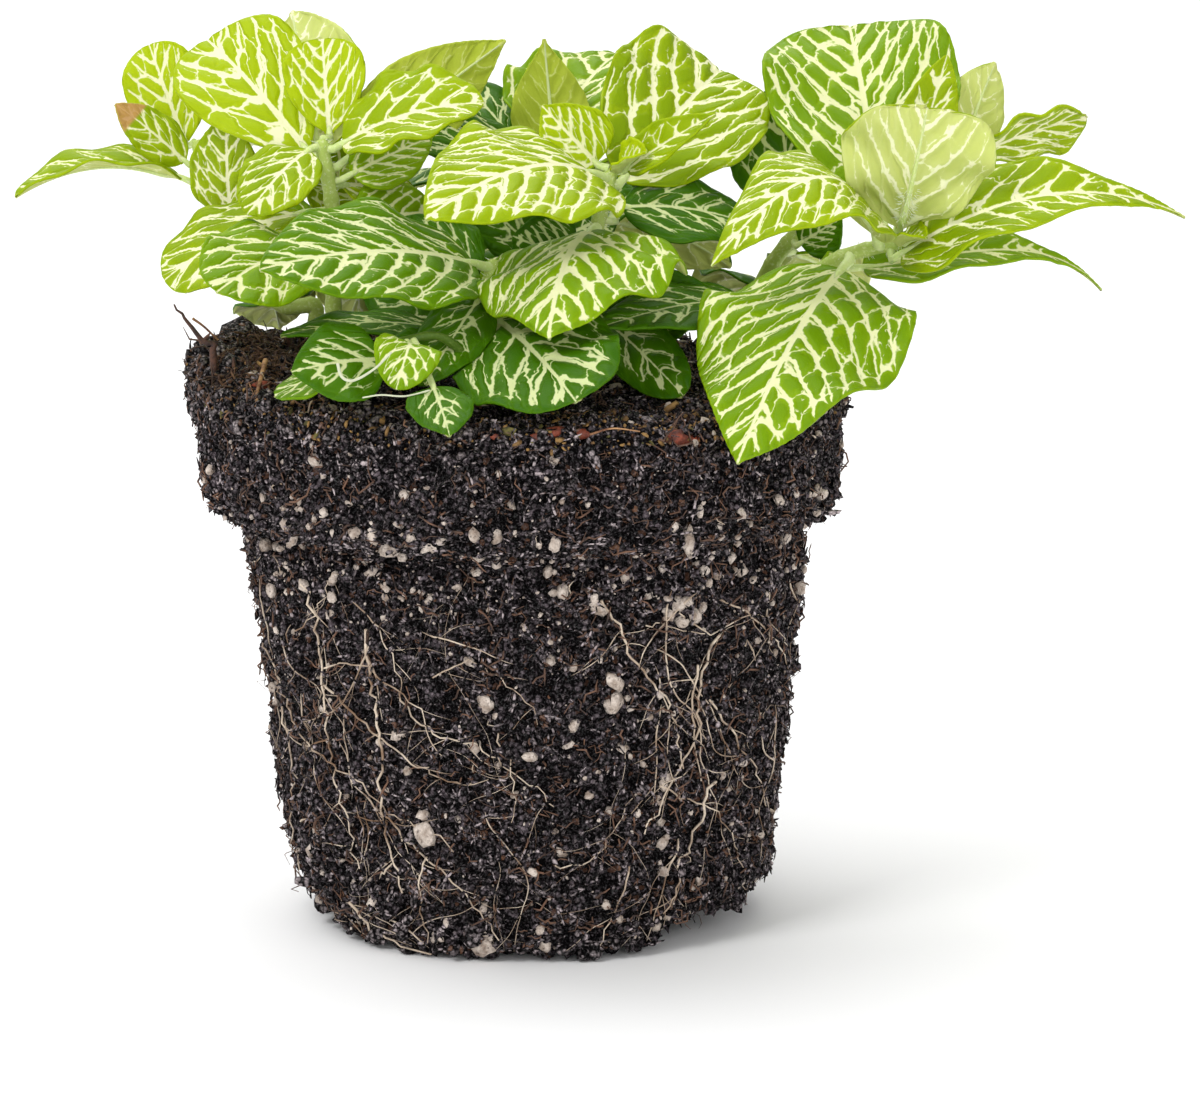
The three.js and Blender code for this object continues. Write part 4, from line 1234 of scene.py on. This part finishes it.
# The thickest roots of the side that the photograph shows: their pixels, and their radius in mm.
SEEN_ROOTS = [
    ([(302, 579), (317, 610), (323, 644), (326, 692), (329, 731), (336, 769), (348, 808), (355, 846),
      (367, 875)], 0.28),
    ([(366, 630), (370, 663), (377, 707), (383, 740), (384, 788), (387, 832), (396, 865), (406, 899)], 0.34),
    ([(327, 683), (355, 712), (384, 740), (413, 762), (442, 776), (471, 788)], 0.24),
    ([(401, 692), (418, 721), (442, 736), (480, 745), (509, 769), (538, 788), (557, 812)], 0.2),
    ([(435, 675), (471, 659), (509, 683), (533, 707), (543, 731)], 0.17),
    ([(264, 635), (283, 683), (298, 726), (317, 750), (339, 764), (365, 784), (389, 812), (423, 827),
      (442, 837), (461, 856)], 0.22),
    ([(379, 808), (408, 837), (442, 870), (471, 899), (490, 923), (504, 947)], 0.22),
    ([(427, 856), (420, 885), (425, 918), (430, 947)], 0.2),
    ([(283, 707), (290, 740), (298, 779), (293, 812), (298, 846), (305, 885)], 0.24),
    ([(509, 760), (516, 798), (509, 832)], 0.15),
    ([(358, 603), (379, 627), (399, 668), (406, 702)], 0.17),
    ([(298, 630), (317, 615), (336, 572), (355, 577)], 0.15),
    ([(329, 668), (348, 661), (370, 668), (399, 692), (423, 711), (432, 736), (447, 760)], 0.18),
    ([(600, 600), (622, 630), (627, 652), (647, 677), (662, 695), (672, 720), (677, 750), (685, 780)], 0.28),
    ([(715, 635), (700, 670), (695, 700), (697, 730), (682, 760), (665, 790), (640, 842)], 0.3),
    ([(710, 700), (730, 735), (747, 760), (760, 790), (771, 820)], 0.24),
    ([(720, 600), (745, 612), (775, 640), (785, 670), (788, 695)], 0.22),
    ([(710, 780), (702, 805), (690, 840), (677, 865), (675, 895), (657, 920)], 0.3),
    ([(630, 865), (620, 895), (605, 930), (595, 955)], 0.2),
    ([(640, 625), (660, 622), (680, 630), (715, 635)], 0.16),
    ([(555, 865), (580, 865), (600, 852), (615, 825), (635, 790)], 0.16),
    ([(697, 665), (690, 700), (692, 740), (700, 790)], 0.24),
    ([(660, 785), (685, 800), (715, 810), (735, 850), (740, 875)], 0.2),
    ([(350, 905), (375, 930), (410, 948), (450, 958)], 0.3),
]
# finer roots: the middle of a cluster, as an angle from the front, its spread, and how many start there
ROOT_CLUSTERS = [
    (-0.8, 0.26, 13), (0.62, 0.24, 9), (0.0, 0.5, 6), (2.2, 0.5, 26), (-2.3, 0.5, 26), (3.1, 0.4, 15),
]
FOOT_ROOTS = 12
PIXELS_PER_STEP = 8      # length of a seen root's steps on the photograph


def route_of_pixels(skin, rng, path):
    """A path of pixels as (angle, height) pairs on the ball's flank, with a little wobble."""
    route = []
    for (ax, ay), (bx, by) in zip(path, path[1:]):
        steps = max(2, round(math.hypot(bx - ax, by - ay) / PIXELS_PER_STEP))
        for i in range(steps):
            wobble = rng.normal(0, 1.2, 2)
            at = skin.seen(ax + (bx - ax) * i / steps + wobble[0], ay + (by - ay) * i / steps + wobble[1])
            if at is not None:
                route.append((math.atan2(at[0] - leaning(at[2]), -at[1]), at[2]))
    return route


def make_roots(skin, rng):
    """Live roots, 0.1 to 0.6 mm thick, that ran down between the soil and the pot's wall."""
    lines = []

    def grow(around, height, heading, length, thick, forks):
        route = root_walk(rng, around, height, heading, length)
        if len(route) < FEWEST_POINTS:
            return
        line = lay_on_ball(skin, route, thick * 0.35 + 0.25)
        if line is None:
            return
        taper = np.linspace(1, 0.45, len(line))
        ends = np.minimum(1, np.minimum(np.arange(len(line)), np.arange(len(line))[::-1]) / 2 + 0.25)
        lines.append((line, thick * taper * ends))
        for _ in range(forks):
            at = rng.integers(2, len(line) - 1)
            grow(*route[at], heading + rng.choice([-1, 1]) * rng.uniform(0.4, 1.1),
                 length * rng.uniform(0.15, 0.5), thick * rng.uniform(0.4, 0.75), max(forks - 2, 0))

    for path, thick in SEEN_ROOTS:
        route = route_of_pixels(skin, rng, path)
        line = lay_on_ball(skin, route, thick * 0.35 + 0.3)
        if line is None:
            continue
        lines.append((line, 0.88 * thick * np.linspace(1, 0.55, len(line))))
        for _ in range(4):
            at = rng.integers(1, len(line) - 1)
            grow(*route[at], rng.choice([-1, 1]) * rng.uniform(0.5, 1.5), rng.uniform(4, 16),
                 thick * rng.uniform(0.3, 0.5), rng.integers(0, 2))
    for centre, spread, count in ROOT_CLUSTERS:
        for _ in range(count):
            grow(centre + rng.normal(0, spread), rng.uniform(18, 70), rng.normal(0, 0.5),
                 rng.uniform(14, 55), 0.11 * math.exp(rng.normal(0.1, 0.45)), rng.integers(1, 4))
    # flat roots that ran round the pot's bottom edge
    for _ in range(FOOT_ROOTS):
        grow(rng.uniform(-math.pi, math.pi), rng.uniform(2.5, 12),
             rng.choice([-1, 1]) * rng.uniform(1.3, 1.6), rng.uniform(15, 45), rng.uniform(0.1, 0.24), 2)
    part_of_plant(strands("fine_roots", lines, 1), [root_finish], "potting_soil")


PEAT_FIBRES = 4200
ROOT_HAIRS = 140
MOUND_FIBRES = 1000
DARK_FIBRES = 3600
BARE_FOOT = 5            # no fibres start under this height


def make_peat_fibres(skin, rng):
    """Short brown fibres that lie along the ball, a few of which stand off it, and loose root ends."""
    lines = []
    for face in skin.pick_faces(rng, PEAT_FIBRES + ROOT_HAIRS, skin.centres[:, 2] > BARE_FOOT):
        out = skin.normals[face] if rng.random() < 0.05 else outward(skin.centres[face])
        side = lying(rng, out, skin.centres[face, 2])
        length = rng.uniform(1.2, 5)
        at = skin.centres[face] + out * 0.35
        bend = rng.normal(0, 0.14, 3) * length
        middle = at + side * length / 2 + out * rng.uniform(0.2, 0.6) + bend
        end = at + side * length + out * rng.uniform(-0.5, 0.3)
        thick = rng.uniform(0.05, 0.2)
        first = (at + middle) / 2 + rng.normal(0, 0.12, 3) * length
        last = (middle + end) / 2 + rng.normal(0, 0.12, 3) * length
        lines.append(([at, first, middle, last, end], [thick, thick, thick, thick, thick * 0.4]))
    part_of_plant(strands("peat_fibres", lines[:PEAT_FIBRES], 0), [fibre_finish], "potting_soil")
    part_of_plant(strands("root_hairs", lines[PEAT_FIBRES:], 0), [root_finish], "potting_soil")


def near_mound(skin, lowest, middle_y):
    """A weight of the ball's faces for what gathers on the mound."""
    x, y, z = skin.centres.T
    return (z > lowest) * np.exp(-((x - MOUND_X) ** 2 + (y - middle_y) ** 2) / 260)


def make_mound_fibres(skin, rng):
    """The mound is a mat of brown fibres that lie anyhow."""
    mat = []
    for face in skin.pick_faces(rng, MOUND_FIBRES, near_mound(skin, 94, -3)):
        at = skin.centres[face] + [0, 0, rng.uniform(0.1, 1.2)]
        way = unit(rng.normal(0, 1, 3) * [1, 1, 0.25] - 0.02 * (at - [BALL_LEAN, 0, BALL_HEIGHT]))
        length = rng.uniform(1.2, 4)
        kink = rng.normal(0, 0.16, (3, 3)) * length
        thick = rng.uniform(0.07, 0.24)
        points = [at + way * length * step + kink[number % 3]
                  for number, step in enumerate((0, 0.25, 0.5, 0.75, 1))]
        mat.append((points, [thick, thick, thick, 0.8 * thick, 0.3 * thick]))
    part_of_plant(strands("mound_fibres", mat, 0), [mat_finish], "potting_soil")


def make_dark_fibres(skin, rng):
    """Black fibres knit the crumbs together everywhere."""
    knit = []
    for face in skin.pick_faces(rng, DARK_FIBRES, skin.centres[:, 2] > BARE_FOOT):
        out = outward(skin.centres[face])
        side = lying(rng, out, skin.centres[face, 2])
        length = rng.uniform(1.5, 4.5)
        kinks = rng.normal(0, 0.16, (4, 3)) * length
        kinks -= 0.8 * np.outer(kinks @ out, out)
        points = [skin.centres[face] + out * 0.2 + side * length * step + kink
                  for step, kink in zip((0, 0.33, 0.67, 1), kinks)]
        thick = rng.uniform(0.08, 0.2)
        knit.append((points, [thick, thick, thick, 0.5 * thick]))
    part_of_plant(strands("dark_fibres", knit, 0), [crumb_finish], "potting_soil")


OCHRE_FLAKES = 900
MOSS_BITS = 160
SPLINTERS = 130
# bark chips that the photograph shows on the rim: their pixel, and their length in mm
SEEN_CHIPS = [
    (555, 432, 3.0), (583, 434, 3.4), (676, 438, 4.6), (497, 437, 2.2), (540, 436, 2.4), (690, 441, 2.6),
    (447, 432, 1.8), (262, 385, 3.0),
]


def make_litter(skin, rng):
    """Bits on the soil's top edge: red bark chips, splinters, ochre flakes and a little dried moss."""
    chips = lump_shapes("chip", 5, 2, 0.2)
    places = []
    for px, py, length in SEEN_CHIPS:
        at = skin.seen(px, py)
        if at is not None:
            which = rng.integers(len(chips))
            along = (1, 0.2, rng.uniform(-0.2, 0.2))
            places.append((which, at, 0.36 * length, outward(at), along, 1.9, 0))
    scatter("bark_chips", chips, places, chip_finish)

    # splinters of bark and old root on the mound, some of them standing up from it
    places = []
    for face in skin.pick_faces(rng, SPLINTERS, near_mound(skin, 93, -4)):
        out = unit(skin.normals[face] + rng.normal(0, 0.7, 3))
        size = rng.uniform(0.2, 0.5)
        along = rng.normal(0, 1, 3) + out * rng.choice([0, 0, 2.5])
        places.append((rng.integers(len(chips)), skin.centres[face] + out * size * 0.8, size,
                       unit(rng.normal(0, 1, 3)), along, rng.uniform(2.5, 6), 0))
    scatter("bark_splinters", chips, places, bark_finish)

    # flakes and moss along the lip, most of them in front
    flakes = lump_shapes("flake", 5, 1, 0.35)
    places = []
    x, y, z = skin.centres.T
    near_lip = (z > 91) * (np.hypot(x - BALL_LEAN, y) > 44)
    front = 0.35 + (y < 0) + 1.5 * np.exp(-((x - 18) / 22) ** 2) * (y < -40)
    for face in skin.pick_faces(rng, OCHRE_FLAKES + MOSS_BITS, near_lip * front):
        out = skin.normals[face]
        size = 0.17 * math.exp(rng.normal(0.3, 0.5))
        places.append(tumbled(rng, len(flakes), skin.centres[face] + out * 0.5, size, out, 0.4, (1, 2.2)))
    scatter("dry_flakes", flakes, places[:OCHRE_FLAKES], flake_finish)
    scatter("dried_moss", flakes, places[OCHRE_FLAKES:], moss_finish)


ROOTLET_ROUTE = [[-31.2, -54, 105.8], [-30.6, -55, 103.9], [-29, -56.5, 103.3], [-25.1, -59, 105.6],
                 [-22.1, -60, 108.6]]
THREAD_ROUTE = [[-27, -57, 100.6], [-24, -58, 101.2], [-20, -58, 101.0], [-16, -57, 101.8]]
# straws on the rim that the photograph shows: their pixels, and their radius in mm
SEEN_STRAWS = [
    ([(193, 320), (203, 327), (215, 338), (229, 351)], 0.26),
    ([(266, 362), (262, 378), (258, 394), (257, 408)], 0.5),
    ([(243, 350), (246, 366), (249, 382), (254, 396)], 0.2),
    ([(336, 398), (352, 404), (368, 400)], 0.2),
    ([(590, 436), (612, 430), (640, 433)], 0.2),
]


def make_threads(skin):
    """A pale rootlet bent over the creeping shoot, a thin thread under it and brown straws on the rim."""
    rootlet = smooth_line(ROOTLET_ROUTE, 8)
    thread = smooth_line(THREAD_ROUTE, 8)
    made = strands("pale_rootlet", [(rootlet, np.linspace(0.3, 0.16, len(rootlet))),
                                    (thread, np.linspace(0.13, 0.16, len(thread)))], 2)
    part_of_plant(made, [pale_finish], "potting_soil")
    straws = []
    for pixels, thick in SEEN_STRAWS:
        hits = [skin.seen(px, py) for px, py in pixels]
        nearest = min(hit[1] for hit in hits if hit is not None)
        points = [on_sight_line(*pixel, nearest) if hit is None else hit for pixel, hit in zip(pixels, hits)]
        line = smooth_line([point + [0, -1.4, 0.5] for point in points], 6)
        straws.append((line, thick * np.linspace(1, 0.6, len(line))))
    part_of_plant(strands("brown_straws", straws, 1), [straw_finish], "potting_soil")


def make_twig(rng):
    """The broken twig beside the mound: crooked, pointed, with the stub of a side shoot."""
    line = resampled(from_soil(TWIG_ROUTE), 14)
    line += rng.normal(0, 0.12, line.shape)
    line[0] -= [0, 0, 5]
    stub = [line[5], line[5] + [0.9, -0.3, 0.9], line[5] + [1.3, -0.2, 1.4]]
    twig = strands("dry_twig", [(line, np.linspace(0.7, 0.16, 14)), (stub, [0.35, 0.3, 0.12])], 2)
    part_of_plant(twig, [bark_finish], "dry_twig", "twig")


# ---------------------------------------------------------------------------
# Studio
# ---------------------------------------------------------------------------
def area_light(name, place, aim, size, power):
    data = bpy.data.lights.new(name, "AREA")
    data.energy = power
    data.size = size
    light = bpy.data.objects.new(name, data)
    light.location = place
    light.rotation_euler = (Vector(aim) - Vector(place)).to_track_quat("-Z", "Y").to_euler()
    bpy.context.scene.collection.objects.link(light)


def make_studio():
    """A white board under the plant, in soft light from above and from the front."""
    floor = fresh("floor", bpy.ops.mesh.primitive_plane_add, size=12, location=(0, 0, -0.0002))
    board = new_material("matt white board", Roughness=0.9, Base_Color=colour("#FDFDFD"))[0]
    floor.data.materials.append(board)
    world = bpy.data.worlds.new("white studio")
    bpy.context.scene.world = world
    world.use_nodes = True
    sky = world.node_tree.nodes["Background"]
    sky.inputs["Color"].default_value = (1, 1, 1, 1)
    sky.inputs["Strength"].default_value = 0.5
    area_light("ceiling panel", (-0.5, 1.3, 2.5), (0, 0.4, 0), 3.6, 75)
    area_light("soft box above left", (-0.9, -1.1, 1.4), (0, 0, 0.08), 0.6, 14)
    area_light("soft box in front", (0.1, -2.0, 0.6), (0, 0, 0.06), 1.0, 9)
    area_light("soft box right", (1.3, -1.1, 0.8), (0, 0, 0.08), 1.0, 4)
    bpy.context.scene.view_settings.view_transform = "Standard"
    bpy.context.scene.view_settings.look = "None"


place_camera()
root_ball = make_root_ball()
skin = BallSkin(root_ball)
# what shares one run of random numbers has to be made in this order
crumb_dice = np.random.default_rng(11)
make_crumbs(skin, crumb_dice)
make_clods(skin, crumb_dice)
make_perlite(skin, np.random.default_rng(5))
make_roots(skin, np.random.default_rng(23))
fibre_dice = np.random.default_rng(31)
make_peat_fibres(skin, fibre_dice)
make_mound_fibres(skin, fibre_dice)
make_dark_fibres(skin, fibre_dice)
make_litter(skin, np.random.default_rng(41))
make_threads(skin)
make_twig(np.random.default_rng(3))
make_stems()
make_stem_hairs(random.Random(7))
make_leaves()
make_studio()
